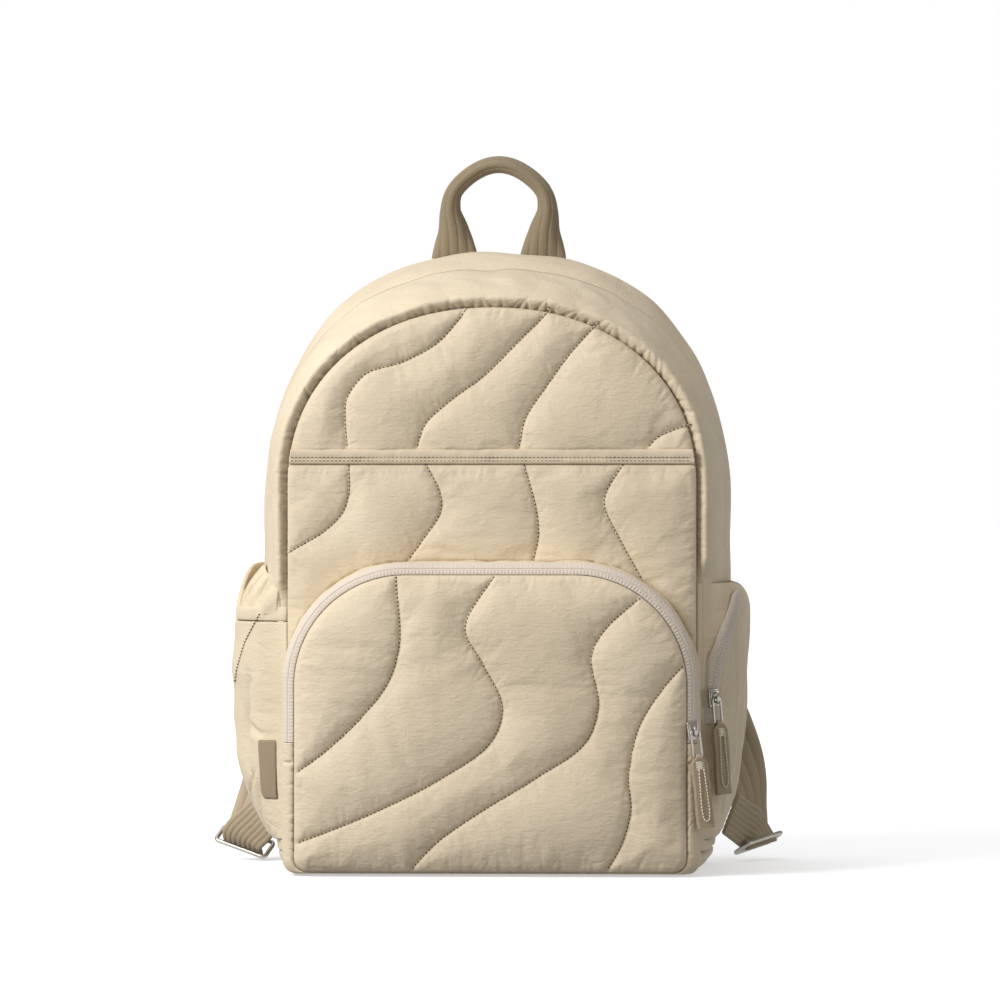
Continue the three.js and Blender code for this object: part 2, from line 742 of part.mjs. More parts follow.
// Below the zip's ends the same slope is plain cloth, round the pocket's foot.
function pocketLowerStrip() {
  const places = tapePlaces((z) => z < zipEnd);
  const atEnd = (p) => Math.abs(p.y - zipEnd) < 1e-6;
  const turn = places.findIndex(([p]) => atEnd(p)) + 1;
  const ordered = [...places.slice(turn), ...places.slice(0, turn)];
  const gap = (p) => (atEnd(p) ? v2(p.x, p.y - clearance) : p);
  const sections = ordered.map((lines) => lines.map(gap)).map(([seam, edge, inner]) => [
    tapePoint(seam, edge, 0, 0),
    tapePoint(seam, edge, 0.5, 0.8),
    tapePoint(seam, edge, 1, 0),
    tapePoint(seam, edge, 1, -zipTape),
    new THREE.Vector3(inner.x, zipPlane + zipTape, inner.y),
    tapePoint(seam, edge, 0, -zipTape),
  ]);
  return loft(sections);
}
addPiece('front_pocket_lower_strip', pocketLowerStrip(), nylon);

// Quilt seams of the pocket's panel, as shares of its half width and of its height.
const pocketSeams = [
  [[-0.48, 1], [-0.46, 0.77], [-0.52, 0.637], [-0.667, 0.513], [-0.857, 0.396], [-1, 0.329]],
  [[0.023, 1], [-0.126, 0.822], [-0.039, 0.705], [0.064, 0.557], [0.002, 0.436], [-0.265, 0.309],
    [-0.533, 0.218], [-0.795, 0.144], [-1, 0.094]],
  [[0.778, 0.933], [0.583, 0.815], [0.516, 0.728], [0.552, 0.56], [0.485, 0.436], [0.244, 0.322],
    [-0.06, 0.198], [-0.27, 0.1], [-0.414, 0]],
  [[1, 0.711], [0.866, 0.607], [0.758, 0.487], [0.706, 0.322], [0.717, 0.211], [0.665, 0.087], [0.588, 0]],
].map((rows) => rows.map(([across, up]) => ({ across, up })));

function pocketPanel() {
  const outline = new Outline(pocketOutline(0, 0));
  const steps = 14;
  const lines = pocketSeams.map((rows) => {
    const line = seamLine(rows, pocketHalf, pocketTop - pocketBottom, steps);
    line.forEach((p) => { p.y += pocketBottom; });
    endOnOutline(line, 0, outline);
    endOnOutline(line, steps, outline);
    return line;
  });
  const feet = [-1, 1].map((side) => v2(side * (pocketHalf - pocketFoot * 0.3), pocketBottom + pocketFoot * 0.3));
  const first = outline.between(lines[0][0], lines[0][steps], evenly(steps));
  const last = outline.between(lines[3][0], lines[3][steps], evenly(steps), [feet[1]]);
  const seams = [first, ...lines, last];
  const channels = seams.slice(1).map((b, k) => ({
    a: seams[k],
    b,
    start: outline.between(seams[k][0], b[0], acrossShares),
    end: outline.between(seams[k][steps], b[steps], acrossShares, [feet[0]]),
  }));
  const lift = (p, rise) => {
    outline.nearest(p);
    const dome = pocketDome * Math.sin((Math.PI / 2) * clamp(outline.distance / domeReach, 0, 1));
    return new THREE.Vector3(p.x, seamPlane + zipTape - seamEdge - pocketPuff * rise - dome, p.y);
  };
  return paddedPanel({ channels, lift, plane: seamPlane + zipTape });
}
addPiece('front_pocket_panel', pocketPanel(), nylon);

// The back is one plain padded panel.
function backPanel() {
  const size = bodySize(backRows[backRows.length - 1], 0);
  const footZ = footRadius;
  const columns = 14;
  const sections = evenly(columns).map((share) => {
    const across = Math.sin(lerp(-1, 1, share) * (Math.PI / 2));
    const x = across * size.half * 0.999;
    const top = size.shoulder
      + (size.height - size.shoulder) * (1 - Math.min(1, Math.abs(across) * 0.999) ** size.power) ** (1 / size.power);
    const foot = baseWall + clearance + (footZ - baseWall) * Math.abs(across) ** 12;
    const front = backPanelPlane;
    const rise = backPuff * Math.sqrt(Math.max(0, 1 - across ** 4));
    const ups = [0, 0.04, 0.12, 0.35, 0.65, 0.88, 0.96, 1];
    const outer = ups.map((up) => new THREE.Vector3(
      x,
      front + seamEdge + rise * channelRise(clamp(Math.min(up, 1 - up) * 4, 0, 0.5)),
      lerp(foot, top, up),
    ));
    return [...outer, new THREE.Vector3(x, front, top), new THREE.Vector3(x, front, foot)];
  });
  return loft(sections);
}
addPiece('back_panel', backPanel(), nylon);

// Side pockets lie over the gusset from sideFront to sideBack, as shares of the body's depth.
const sideFront = 0.02;
const sideBack = 0.86;
const bodyRows = [...frontRows, ...backRows.slice(1)];

function bodySizeAt(depth) {
  return bodySize({
    depth,
    grow: depth,
    puff: fromTable(bodyRows, 'depth', depth, 'puff'),
  }, 0);
}

// How far a side pocket stands off the body. q runs from its front seam to its back seam,
// up from its foot to its mouth.
function sideReach(pocket, q, up) {
  const seam = 2 * clearance + gatherHeight * (1 - q);
  const swell = Math.sin(Math.PI * clamp(q, 0, 1)) ** 0.7;
  const low = Math.sin((Math.PI / 2) * clamp(up / 0.4, 0, 1)) ** 0.9;
  const high = pocket.closed ? channelRise(clamp((1 - up) * 4, 0, 0.5)) : lerp(1, 0.8, clamp((up - 0.7) / 0.3, 0, 1));
  const fold = pocket.folds.reduce((sum, { at, depth, width, from, to }) => {
    const along = clamp((up - from) / 0.08, 0, 1) * clamp((to - up) / 0.08, 0, 1);
    return sum + depth * along * Math.exp(-(((q - at) / width) ** 2));
  }, 0);
  return seam + pocket.bulge * swell * low * high * (1 - fold);
}

// A point over a side pocket: height z, and out from its inner face.
function sidePoint(pocket, q, z, out) {
  const size = bodySizeAt(lerp(sideFront, sideBack, q));
  const up = clamp((z - sidePocketFoot) / (pocket.top(q) - sidePocketFoot), 0, 1);
  return new THREE.Vector3(pocket.side * (sideAt(size, z) + sideReach(pocket, q, up) + out), size.y, z);
}

const smooth = (t) => t * t * (3 - 2 * t);

// Folds as shares: place and width along the depth, depth of the fold, from and to up the height.
const bottlePocket = {
  side: -1,
  bulge: bottleBulge,
  closed: false,
  top: (q) => bottleTop + bottleRise * smooth(clamp((q - 0.45) / 0.55, 0, 1)),
  folds: [
    { at: 0.26, depth: 0.32, width: 0.07, from: 0.18, to: 0.72 },
    { at: 0.68, depth: 0.2, width: 0.09, from: 0.1, to: 0.95 },
  ],
};
const zipPocket = {
  side: 1,
  bulge: zipPocketBulge,
  closed: true,
  top: () => zipPocketTop,
  folds: [{ at: 0.3, depth: 0.16, width: 0.05, from: 0.1, to: 0.7 }],
};

// Places along a side pocket's depth, closer together near its two seams.
const sideDepths = evenly(18).map((share) => (1 - Math.cos(share * Math.PI)) / 2);

function sidePanel(pocket, top) {
  const ups = evenly(6);
  return loft(sideDepths.map((q) => {
    const heights = ups.map((up) => lerp(sidePocketFoot, top(q), up));
    const outer = heights.map((z) => sidePoint(pocket, q, z, sideCloth));
    const inner = heights.map((z) => sidePoint(pocket, q, z, 0)).reverse();
    return [...outer, ...inner];
  }));
}
const hemFoot = (q) => bottlePocket.top(q) - hemHeight;
addPiece('left_pocket_panel', sidePanel(bottlePocket, (q) => hemFoot(q) - clearance), nylon);
addPiece('right_pocket_panel', sidePanel(zipPocket, zipPocket.top), nylon);

// The elastic hem is gathered into small ruches.
function pocketHem() {
  return loft(sideDepths.map((q, k) => {
    const ruche = k % 2 === 1 ? 0.8 : 0;
    const inset = (sideCloth - hemThickness) / 2;
    const rows = [[0, 0.25], [0, 0.75], [0.25, 1], [0.75, 1], [1, 0.75], [1, 0.25], [0.75, 0], [0.25, 0]];
    return rows.map(([up, out]) => sidePoint(
      bottlePocket,
      q,
      hemFoot(q) + hemHeight * up,
      Math.max(0, inset + hemThickness * out + (out > 0.5 ? ruche : 0)),
    ));
  }));
}
addPiece('left_pocket_hem', pocketHem(), nylon);

// Above the hem's front end the drawn-in cloth bunches against the body.
function pocketGather() {
  const start = 0.02;
  const stop = 0.3;
  const depths = evenly(10).map((share) => lerp(start, stop, share));
  return loft(depths.map((q, k) => {
    const size = bodySizeAt(lerp(sideFront, sideBack, q));
    const foot = bottleTop + clearance;
    const share = k / (depths.length - 1);
    const full = bunchFull * Math.sqrt(Math.sin(Math.PI * lerp(0.12, 0.88, share))) * (k % 2 === 1 ? 1 : 0.72);
    const stand = clearance * 2 + gatherHeight;
    const point = (z, out) => new THREE.Vector3(-(sideAt(size, z) + stand + out), size.y, z);
    return [
      point(foot, 0),
      point(foot, full),
      point(foot + bunchRise * 0.45, full * 0.95),
      point(foot + bunchRise * 0.85, full * 0.5),
      point(foot + bunchRise, 0),
      point(foot + bunchRise * 0.5, 0),
    ];
  }));
}
addPiece('left_pocket_gather', pocketGather(), nylon);

// A bare tab caught in the bottle pocket's front seam.
function sideLabel() {
  const reach = 0.068;            // its width along the pocket, as a share
  const heights = evenly(4).map((up) => lerp(labelFoot, labelFoot + labelHeight, up));
  return loft(evenly(4).map((share) => {
    const q = reach * share;
    const rounded = share > 0.9 ? labelCorner : 0;
    const lifted = heights.map((z, i) => (i === 0 ? z + rounded : z));
    const near = sideCloth + 2 * clearance;
    const outer = lifted.map((z) => sidePoint(bottlePocket, q, z, near + labelThickness));
    const inner = lifted.map((z) => sidePoint(bottlePocket, q, z, near)).reverse();
    return [...outer, ...inner];
  }));
}
addPiece('side_label', sideLabel(), labelCloth);

// The side pocket's zip climbs from its front seam back over its shoulder.
const sideZipRows = [
  { back: 0.035, up: 0.54 },
  { back: 0.065, up: 0.68 },
  { back: 0.12, up: 0.8 },
  { back: 0.22, up: 0.89 },
  { back: 0.38, up: 0.93 },
  { back: 0.9, up: 0.935 },
];
const sideSpan = bodyDepth * (sideBack - sideFront);
const zipPocketHeight = zipPocketTop - sidePocketFoot;
const sideZipCurve = new THREE.SplineCurve(
  sideZipRows.map(({ back, up }) => v2(back * sideSpan, up * zipPocketHeight)),
);

function sideZip() {
  const steps = 16;
  const half = zipWidth / 2;
  return loft(evenly(steps).map((share) => {
    const place = sideZipCurve.getPointAt(share);
    const tangent = sideZipCurve.getTangentAt(share);
    const across = v2(-tangent.y, tangent.x);
    const at = (side, out) => {
      const p = place.clone().addScaledVector(across, side * half);
      const q = clamp(p.x / sideSpan, 0, 1);
      return sidePoint(zipPocket, q, sidePocketFoot + p.y, sideCloth + zipSeat + out);
    };
    return [at(-1, 0), at(-1, zipTape), at(-0.3, zipTape + coilHeight), at(0.3, zipTape + coilHeight),
      at(1, zipTape), at(1, 0)];
  }));
}
addPiece('right_pocket_zip', sideZip(), zipCloth);

// A closed ring of round wire along a rounded rectangle, in the XZ plane.
function wireRing(length, width, wire, corner, sides) {
  const centre = [];
  const r = corner;
  for (let k = 0; k < 4; k += 1) {
    const sx = k === 0 || k === 3 ? 1 : -1;
    const sz = k < 2 ? 1 : -1;
    for (const step of [0, 0.5, 1]) {
      const angle = (k + step) * (Math.PI / 2);
      centre.push(new THREE.Vector3(
        sx * ((width - wire) / 2 - r) + r * Math.cos(angle),
        0,
        sz * ((length - wire) / 2 - r) + r * Math.sin(angle),
      ));
    }
  }
  const axis = new THREE.Vector3(0, 1, 0);
  return loft(centre.map((p, i) => {
    const before = centre[(i + centre.length - 1) % centre.length];
    const after = centre[(i + 1) % centre.length];
    const normal = after.clone().sub(before).normalize().cross(axis);
    return evenly(sides).slice(1).map((share) => {
      const angle = share * 2 * Math.PI;
      return p.clone()
        .addScaledVector(normal, (wire / 2) * Math.cos(angle))
        .addScaledVector(axis, (wire / 2) * Math.sin(angle));
    });
  }), true);
}

// Extrudes a shape drawn in the YZ plane along X, centred on x = 0.
function extrudeAcross(points, width) {
  const section = (x) => points.map(([y, z]) => new THREE.Vector3(x, y, z));
  return loft([section(-width / 2), section(width / 2)]);
}

// Slider, wire link and grosgrain tab, hanging from one place on a zip.
// The slider's back face is at y = 0 and its middle at z = 0.
function addPull(name, place, turn) {
  const pull = new THREE.Group();
  const body = extrudeAcross([
    [0, -sliderLength / 2], [0, sliderLength / 2], [-sliderThickness, sliderLength * 0.36],
    [-sliderThickness, -sliderLength * 0.36],
  ], sliderWidth);
  const bailGap = linkWire + 2 * clearance;
  const bailReach = sliderThickness + bailGap + bailWire;
  const bailHalf = 0.28 * sliderLength;
  const root = -0.75 * sliderThickness;
  const [inside, bent] = [bailHalf - 0.85 * bailWire, bailHalf - 1.3 * bailWire];
  const bail = extrudeAcross([
    [root, -bailHalf], [-bailReach, 0.7 * bailWire - bailHalf], [-bailReach, bailHalf - 0.7 * bailWire],
    [root, bailHalf], [root, inside], [-sliderThickness - bailGap, bent],
    [-sliderThickness - bailGap, -bent], [root, -inside],
  ], 0.3 * sliderWidth);
  const slider = new THREE.Mesh(join(body, bail), metal);
  slider.name = `${name}_zip_slider`;
  const link = new THREE.Mesh(wireRing(linkLength, linkWidth, linkWire, linkWire, 6), metal);
  link.name = `${name}_zip_link`;
  link.position.set(0, -sliderThickness - clearance - linkWire / 2, -linkLength / 2 + linkWire / 2);
  const bar = link.position.z - linkLength / 2 + linkWire / 2;
  const inner = linkWire / 2 + clearance;
  const outer = inner + tabThickness;
  const fold = (radius, from, to) => evenly(6).map((share) => {
    const angle = lerp(from, to, share);
    return [link.position.y - radius * Math.cos(angle), bar + radius * Math.sin(angle)];
  });
  const split = clearance / 2;
  const layer = split + tabThickness;
  const [y, meet, foot] = [link.position.y, bar - outer * 1.6, bar - tabLength];
  const strip = extrudeAcross([
    ...fold(outer, 0, Math.PI),
    [y + layer, meet], [y + layer, foot], [y + split, foot], [y + split, bar - inner * 1.3],
    ...fold(inner, -Math.PI * 0.3, Math.PI * 1.3).reverse(),
    [y - split, bar - inner * 1.3], [y - split, foot], [y - layer, foot], [y - layer, meet],
  ], tabWidth);
  const neck = linkWidth - 2 * linkWire - 2 * clearance;
  const corners = strip.getAttribute('position');
  for (let i = 0; i < corners.count; i += 1) {
    const below = clamp((bar - inner - corners.getZ(i)) / (bar - inner - meet), 0, 1);
    corners.setX(i, corners.getX(i) * lerp(neck / tabWidth, 1, below));
  }
  const tab = new THREE.Mesh(strip, grosgrain);
  tab.name = `${name}_zip_tab`;
  pull.add(slider, link, tab);
  pull.position.copy(place);
  pull.rotation.z = turn;
  group.add(pull);
}

const frontZipPlace = tapePoint(v2(pocketHalf, 0), v2(pocketHalf + zipWidth, 0), 0.5, coilHeight + clearance);
const tapeLean = Math.atan2(zipSlope, zipWidth);
frontZipPlace.z = zipEnd + pullAbove;
addPull('front', frontZipPlace, tapeLean * 0.6);

const sidePullPlace = sideZipCurve.getPointAt(0.04);
const sidePull = sidePoint(zipPocket, 0, sidePocketFoot + sidePullPlace.y, sideCloth + clearance + zipTape + coilHeight);
sidePull.y -= zipTape;
addPull('right', sidePull, tapeLean);

// Webbing with its ribs on the face that looks along the section's outward direction.
function webbingSection(centre, across, outward, width, thickness, ribs, roll) {
  const rows = [];
  const steps = ribs * 2;
  for (let i = 0; i <= steps; i += 1) {
    const c = lerp(-width / 2, width / 2, i / steps);
    const crown = webbingCrown * (1 - ((2 * c) / width) ** 2);
    rows.push([c, thickness / 2 + crown - (i % 2 === 0 ? ribDepth : 0)]);
  }
  const backStep = roll > 0 ? ribs : steps;
  for (let i = steps; i >= 0; i -= backStep) rows.push([lerp(-width / 2, width / 2, i / steps), -thickness / 2]);
  const radius = roll > 0.01 ? width / roll : 0;
  const sag = radius * (1 - Math.sin(roll / 2) / (roll / 2 || 1));
  return rows.map(([c, out]) => {
    const angle = radius ? c / radius : 0;
    const rolled = roll / handleRoll;
    const x = radius ? (radius + out) * Math.sin(angle) * lerp(1, handlePinch, rolled) : c;
    const y = radius ? (radius + out) * Math.cos(angle) - radius + sag : out;
    return centre.clone().addScaledVector(across, x).addScaledVector(outward, y);
  });
}

// The carry handle: two flat feet on the back seam, rolled into a cord in the middle.
const handleRows = [
  { across: 1, up: 0, roll: 0.02 },
  { across: 1.03, up: 0.28, roll: 0.5 },
  { across: 1.1, up: 0.52, roll: 0.86 },
  { across: 1.02, up: 0.7, roll: 1 },
  { across: 0.72, up: 0.86, roll: 1 },
  { across: 0.33, up: 0.97, roll: 1 },
  { across: 0, up: 1, roll: 1 },
];

function carryHandle() {
  const rolledHalf = webbingWidth / handleRoll + webbingThickness / 2;
  const foot = backHeight + clearance * 2;
  const rise = handleRise - rolledHalf;
  const half = handleRows.map(({ across, up }) => new THREE.Vector3(
    (-across * handleSpread) / 2,
    backPlane,
    foot + rise * up,
  ));
  const places = [...half, ...half.slice(0, -1).reverse().map((p) => new THREE.Vector3(-p.x, p.y, p.z))];
  const curve = new THREE.CatmullRomCurve3(places);
  const steps = 22;
  const forward = new THREE.Vector3(0, -1, 0);
  return loft(evenly(steps).map((share) => {
    const at = Math.min(share, 1 - share) * (places.length - 1);
    const k = Math.min(Math.floor(at), handleRows.length - 2);
    const roll = handleRoll * lerp(handleRows[k].roll, handleRows[k + 1].roll, at - k);
    const flatEnd = share === 0 || share === 1;
    const tangent = flatEnd ? new THREE.Vector3(0, 0, share === 0 ? 1 : -1) : curve.getTangent(share);
    const across = forward.clone().cross(tangent).normalize();
    return webbingSection(curve.getPoint(share), across, forward, webbingWidth, webbingThickness, ribCount, roll);
  }));
}
addPiece('carry_handle', carryHandle(), grosgrain);

// Where each buckle lies: across as a share of the back's half width, behind the back seam and
// up as shares of its own length, the directions of its long and short sides, the side of it on
// which the strap arrives, and how far its strap is spread.
const buckleRows = {
  left: {
    across: 1.14, behind: 0.1, up: 0.3, long: [0.9, 0.3, 0.3], short: [-0.33, 0.5, 0.5], strap: 1, spread: 0.965,
  },
  right: {
    across: 1.16, behind: 0.45, up: 0.275, long: [0.62, 0.76, 0.16], short: [0.62, -0.61, 0.5], strap: -1, spread: 1.01,
  },
};

function buckleBasis(side) {
  const row = side < 0 ? buckleRows.left : buckleRows.right;
  const mirror = (v) => new THREE.Vector3(side * v[0], v[1], v[2]);
  const long = mirror(row.long).normalize();
  const short = mirror(row.short).projectOnVector(long).negate().add(mirror(row.short)).normalize();
  const through = long.clone().cross(short);
  if (through.z < 0) through.negate();
  const centre = new THREE.Vector3(
    side * row.across * backHalf,
    backPlane + row.behind * buckleLength,
    row.up * buckleLength,
  );
  return { centre, long, short, through, strap: row.strap, spread: row.spread };
}

function slideBuckle(side) {
  const { centre, long, short } = buckleBasis(side);
  const ring = wireRing(buckleLength, buckleWidth, buckleWire, buckleCorner, 8);
  const basis = new THREE.Matrix4().makeBasis(short, short.clone().cross(long).negate(), long);
  ring.applyMatrix4(basis.setPosition(centre));
  ring.computeVertexNormals();
  return ring;
}

// Middle line of a shoulder strap, as shares of the back's half width, of the strap's reach
// behind the back panel and of the back's height. width is a share of the strap's full width.
const strapRows = [
  { across: 0.26, behind: 0, up: 0.95, width: 0.72 },
  { across: 0.29, behind: 0.03, up: 0.86, width: 0.9 },
  { across: 0.4, behind: 0.62, up: 0.74, width: 1 },
  { across: 0.56, behind: 1, up: 0.56, width: 1 },
  { across: 0.76, behind: 1, up: 0.37, width: 0.92 },
  { across: 0.98, behind: 0.72, up: 0.215, width: 0.8 },
  { across: 1.1, behind: 0.36, up: 0.11, width: 0.64 },
];
const backFace = backPanelPlane + seamEdge + backPuff + webbingCrown + clearance;

function strapPath(side) {
  const { centre, short, through, strap, spread } = buckleBasis(side);
  const places = strapRows.map(({ across, behind, up }) => new THREE.Vector3(
    side * across * spread * backHalf,
    backFace + shoulderThickness / 2 + strapReach * behind,
    up * backHeight,
  ));
  const layer = (webbingThickness + clearance) / 2;
  places.push(centre.clone().addScaledVector(short, strap * layer).addScaledVector(through, buckleWire));
  return places;
}

function shoulderStrap(side) {
  const places = strapPath(side);
  const { long } = buckleBasis(side);
  const curve = new THREE.CatmullRomCurve3(places);
  const spans = places.length - 1;
  const backward = new THREE.Vector3(0, 1, 0);
  return loft(evenly(19).map((share) => {
    const at = share * spans;
    const k = Math.min(Math.floor(at), spans - 1);
    const tail = { width: webbingWidth / shoulderWidth };
    const [here, there] = [strapRows[k], strapRows[k + 1] || tail];
    const width = shoulderWidth * lerp(here.width, there.width, at - k);
    const thin = smooth(clamp((share - 0.7) / 0.22, 0, 1));
    const thickness = lerp(shoulderThickness, webbingThickness, thin);
    const tangent = curve.getTangent(share);
    const flat = tangent.clone().cross(backward).multiplyScalar(side).normalize();
    const turned = long.clone().multiplyScalar(side);
    const across = flat.multiplyScalar(-side).lerp(turned, thin).normalize();
    const outward = across.clone().cross(tangent).normalize();
    if (outward.y > 0) outward.negate();
    return webbingSection(curve.getPoint(share), across, outward, width, thickness, ribCount, 0);
  }));
}

// The adjuster runs from the buckle to the lower end of the body's back seam.
const adjusterEnd = { depth: 0.93, up: footRadius + 0.6 * webbingWidth };

function adjusterWebbing(side) {
  const { centre, long, short, through, strap } = buckleBasis(side);
  const layer = -strap * (webbingThickness / 2 + webbingCrown + 2 * clearance);
  const start = centre.clone().addScaledVector(short, layer).addScaledVector(through, -buckleWire);
  const leave = centre.clone().addScaledVector(short, layer).addScaledVector(through, buckleWire * 2);
  const size = bodySizeAt(adjusterEnd.depth);
  const stand = adjusterGap + webbingThickness / 2 + webbingCrown;
  const end = new THREE.Vector3(side * (sideAt(size, adjusterEnd.up) + stand), size.y, adjusterEnd.up);
  const curve = new THREE.CatmullRomCurve3([start, leave, end.clone().lerp(leave, 0.45), end]);
  const last = new THREE.Vector3(side * 0.3, 0.2, 0.9).normalize();
  const first = long.clone();
  return loft(evenly(8).map((share) => {
    const tangent = curve.getTangent(share);
    const across = first.clone().lerp(last, smooth(clamp(share * 1.4 - 0.4, 0, 1)));
    across.addScaledVector(tangent, -across.dot(tangent)).normalize();
    const outward = across.clone().cross(tangent).normalize();
    if (outward.y > 0) outward.negate();
    return webbingSection(curve.getPoint(share), across, outward, webbingWidth, webbingThickness, adjusterRibs, 0);
  }));
}

for (const [word, side] of [['left', -1], ['right', 1]]) {
  addPiece(`shoulder_strap_${word}`, shoulderStrap(side), grosgrain);
  addPiece(`adjuster_webbing_${word}`, adjusterWebbing(side), grosgrain);
  addPiece(`slide_buckle_${word}`, slideBuckle(side), metal);
}

export default group;
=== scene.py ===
# %% [markdown]
# # A quilted puffer backpack
# The bag is lightweight crinkled nylon over loose filling. What makes it look soft is where the
# cloth is held: every quilt seam is a line that can't move, and everything between the seams
# swells. So the panels are flat grids that are pinned along their seams and blown up by Cloth.
# The measured model is loaded first and stays as it is. Each piece is built over its solid.

# %% Load the measured frame
import math

import bmesh
import bpy
import numpy as np
from mathutils import Matrix, Vector


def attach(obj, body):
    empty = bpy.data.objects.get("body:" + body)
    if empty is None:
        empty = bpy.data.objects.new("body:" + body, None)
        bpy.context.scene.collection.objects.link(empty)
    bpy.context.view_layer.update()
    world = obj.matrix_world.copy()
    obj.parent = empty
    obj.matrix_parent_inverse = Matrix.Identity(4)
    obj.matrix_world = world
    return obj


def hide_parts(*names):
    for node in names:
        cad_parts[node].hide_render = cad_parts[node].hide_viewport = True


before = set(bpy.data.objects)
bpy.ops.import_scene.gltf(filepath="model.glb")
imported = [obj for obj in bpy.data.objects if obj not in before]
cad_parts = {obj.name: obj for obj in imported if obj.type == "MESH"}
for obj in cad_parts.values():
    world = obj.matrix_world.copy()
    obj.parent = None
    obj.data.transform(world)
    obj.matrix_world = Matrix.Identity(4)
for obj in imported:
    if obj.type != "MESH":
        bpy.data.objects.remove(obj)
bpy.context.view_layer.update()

MM = 0.001

# %% [markdown]
# ## The camera
# The photograph is taken from far away and level with the middle of the bag, about two degrees
# to its left side, which is why the handle seems to stand a little to the right of the front.

# %% Camera
aim = Vector((5.15, -60, 240)) * MM
camera_turn = math.radians(2.1)
camera_distance = 3.5
camera_data = bpy.data.cameras.new("Camera")
camera_data.sensor_width = 36
camera_data.lens = 195.65
camera = bpy.data.objects.new("Camera", camera_data)
camera.location = aim + camera_distance * Vector((math.sin(camera_turn), -math.cos(camera_turn), 0))
camera.rotation_euler = (math.pi / 2, 0, camera_turn)
bpy.context.scene.collection.objects.link(camera)
bpy.context.scene.camera = camera
print("camera at", [round(v, 3) for v in camera.location])

# %% [markdown]
# ## Colour and nodes
# Colours are picked as sRGB hex values, as on a paint card, and Blender works in linear light,
# so one function turns the first into the second. Another adds a node with its settings.

# %% Two helpers for materials
def linear(hex_colour):
    parts = [int(hex_colour[i:i + 2], 16) / 255 for i in (1, 3, 5)]
    return tuple(p / 12.92 if p <= 0.04045 else ((p + 0.055) / 1.055) ** 2.4 for p in parts) + (1,)


def add_node(tree, kind, values=(), links=(), **settings):
    made = tree.nodes.new(kind)
    for name, value in settings.items():
        setattr(made, name, value)
    for socket, value in dict(values).items():
        made.inputs[socket].default_value = value
    for socket, source in dict(links).items():
        tree.links.new(source, made.inputs[socket])
    return made


# %% [markdown]
# ## Light and floor
# A big soft light from the upper left and a pale surround give the bag a bright left side, a
# darker right side and a faint shadow on a white floor. One weak light fills from above, another
# from the right. The floor carries painted light: it glows a little, which keeps the shadow pale,
# and it glows more further out, so that it meets the backdrop.

# %% Studio
scene = bpy.context.scene
scene.view_settings.view_transform = "Standard"

# The last two values are painted light: the floor's glow near the bag and far out.
WARM_WHITE, AMBIENT, FLOOR_PAINTED_LIGHT, FAR_PAINTED_LIGHT = (1.0, 0.98, 0.94, 1), 0.37, 0.42, 0.75
world = bpy.data.worlds.new("Studio")
world.use_nodes = True
scene.world = world
sky = world.node_tree
sky.nodes.clear()
seen = add_node(sky, "ShaderNodeLightPath").outputs["Is Camera Ray"]
around = add_node(sky, "ShaderNodeTexCoord").outputs["Generated"]
from_left_and_above = add_node(sky, "ShaderNodeVectorMath", {1: (-0.16, -0.04, 0.18)}, {0: around},
                               operation="DOT_PRODUCT").outputs["Value"]
ambient = add_node(sky, "ShaderNodeMath", {1: AMBIENT}, {0: from_left_and_above}, operation="ADD").outputs[0]
surround = add_node(sky, "ShaderNodeBackground", {"Color": WARM_WHITE}, {"Strength": ambient}).outputs[0]
paper = add_node(sky, "ShaderNodeBackground", {"Color": (1, 1, 1, 1), "Strength": 1.0}).outputs[0]
mixed = add_node(sky, "ShaderNodeMixShader", links={0: seen, 1: surround, 2: paper}).outputs[0]
add_node(sky, "ShaderNodeOutputWorld", links={"Surface": mixed})


def add_sun(name, towards, strength, softness):
    data = bpy.data.lights.new(name, "SUN")
    data.energy = strength
    data.angle = math.radians(softness)
    lamp = bpy.data.objects.new(name, data)
    lamp.rotation_euler = (-Vector(towards)).to_track_quat("-Z", "Y").to_euler()
    scene.collection.objects.link(lamp)


softbox = bpy.data.lights.new("Softbox", "AREA")
softbox.energy, softbox.size = 24.5, 0.8
softbox_lamp = bpy.data.objects.new("Softbox", softbox)
softbox_lamp.location = (-1.15, -0.98, 1.0)
softbox_lamp.rotation_euler = (softbox_lamp.location - Vector((0, 0, 0.2))).to_track_quat("Z", "Y").to_euler()
scene.collection.objects.link(softbox_lamp)
add_sun("Above", (-0.25, 0.1, 1.0), 0.6, 40)
add_sun("Right", (1.0, -0.1, 0.15), 0.5, 30)

floor_mesh = bmesh.new()
bmesh.ops.create_grid(floor_mesh, x_segments=1, y_segments=1, size=40)
floor_data = bpy.data.meshes.new("Floor")
floor_mesh.to_mesh(floor_data)
floor_mesh.free()
floor = bpy.data.objects.new("Floor", floor_data)
floor.location.z = -0.0005
scene.collection.objects.link(floor)
floor_paper = bpy.data.materials.new("white_paper")
floor_paper.use_nodes = True
paper_shader = floor_paper.node_tree.nodes["Principled BSDF"]
paper_shader.inputs["Base Color"].default_value = (0.78, 0.8, 0.84, 1)
paper_shader.inputs["Roughness"].default_value = 0.9
# Painted light: the floor's emission lifts its shadow and grows with distance, in place of fill light.
paper_shader.inputs["Emission Color"].default_value = (1, 1, 1, 1)
paper_tree = floor_paper.node_tree
paper_place = add_node(paper_tree, "ShaderNodeTexCoord").outputs["Object"]
distance = add_node(paper_tree, "ShaderNodeVectorMath", links={0: paper_place}, operation="LENGTH")
painted_floor_light = add_node(paper_tree, "ShaderNodeMapRange",
                {"From Min": 0.5, "From Max": 1.8, "To Min": FLOOR_PAINTED_LIGHT, "To Max": FAR_PAINTED_LIGHT},
                {"Value": distance.outputs["Value"]}).outputs["Result"]
paper_tree.links.new(painted_floor_light, paper_shader.inputs["Emission Strength"])
floor.visible_diffuse = False
floor.data.materials.append(floor_paper)

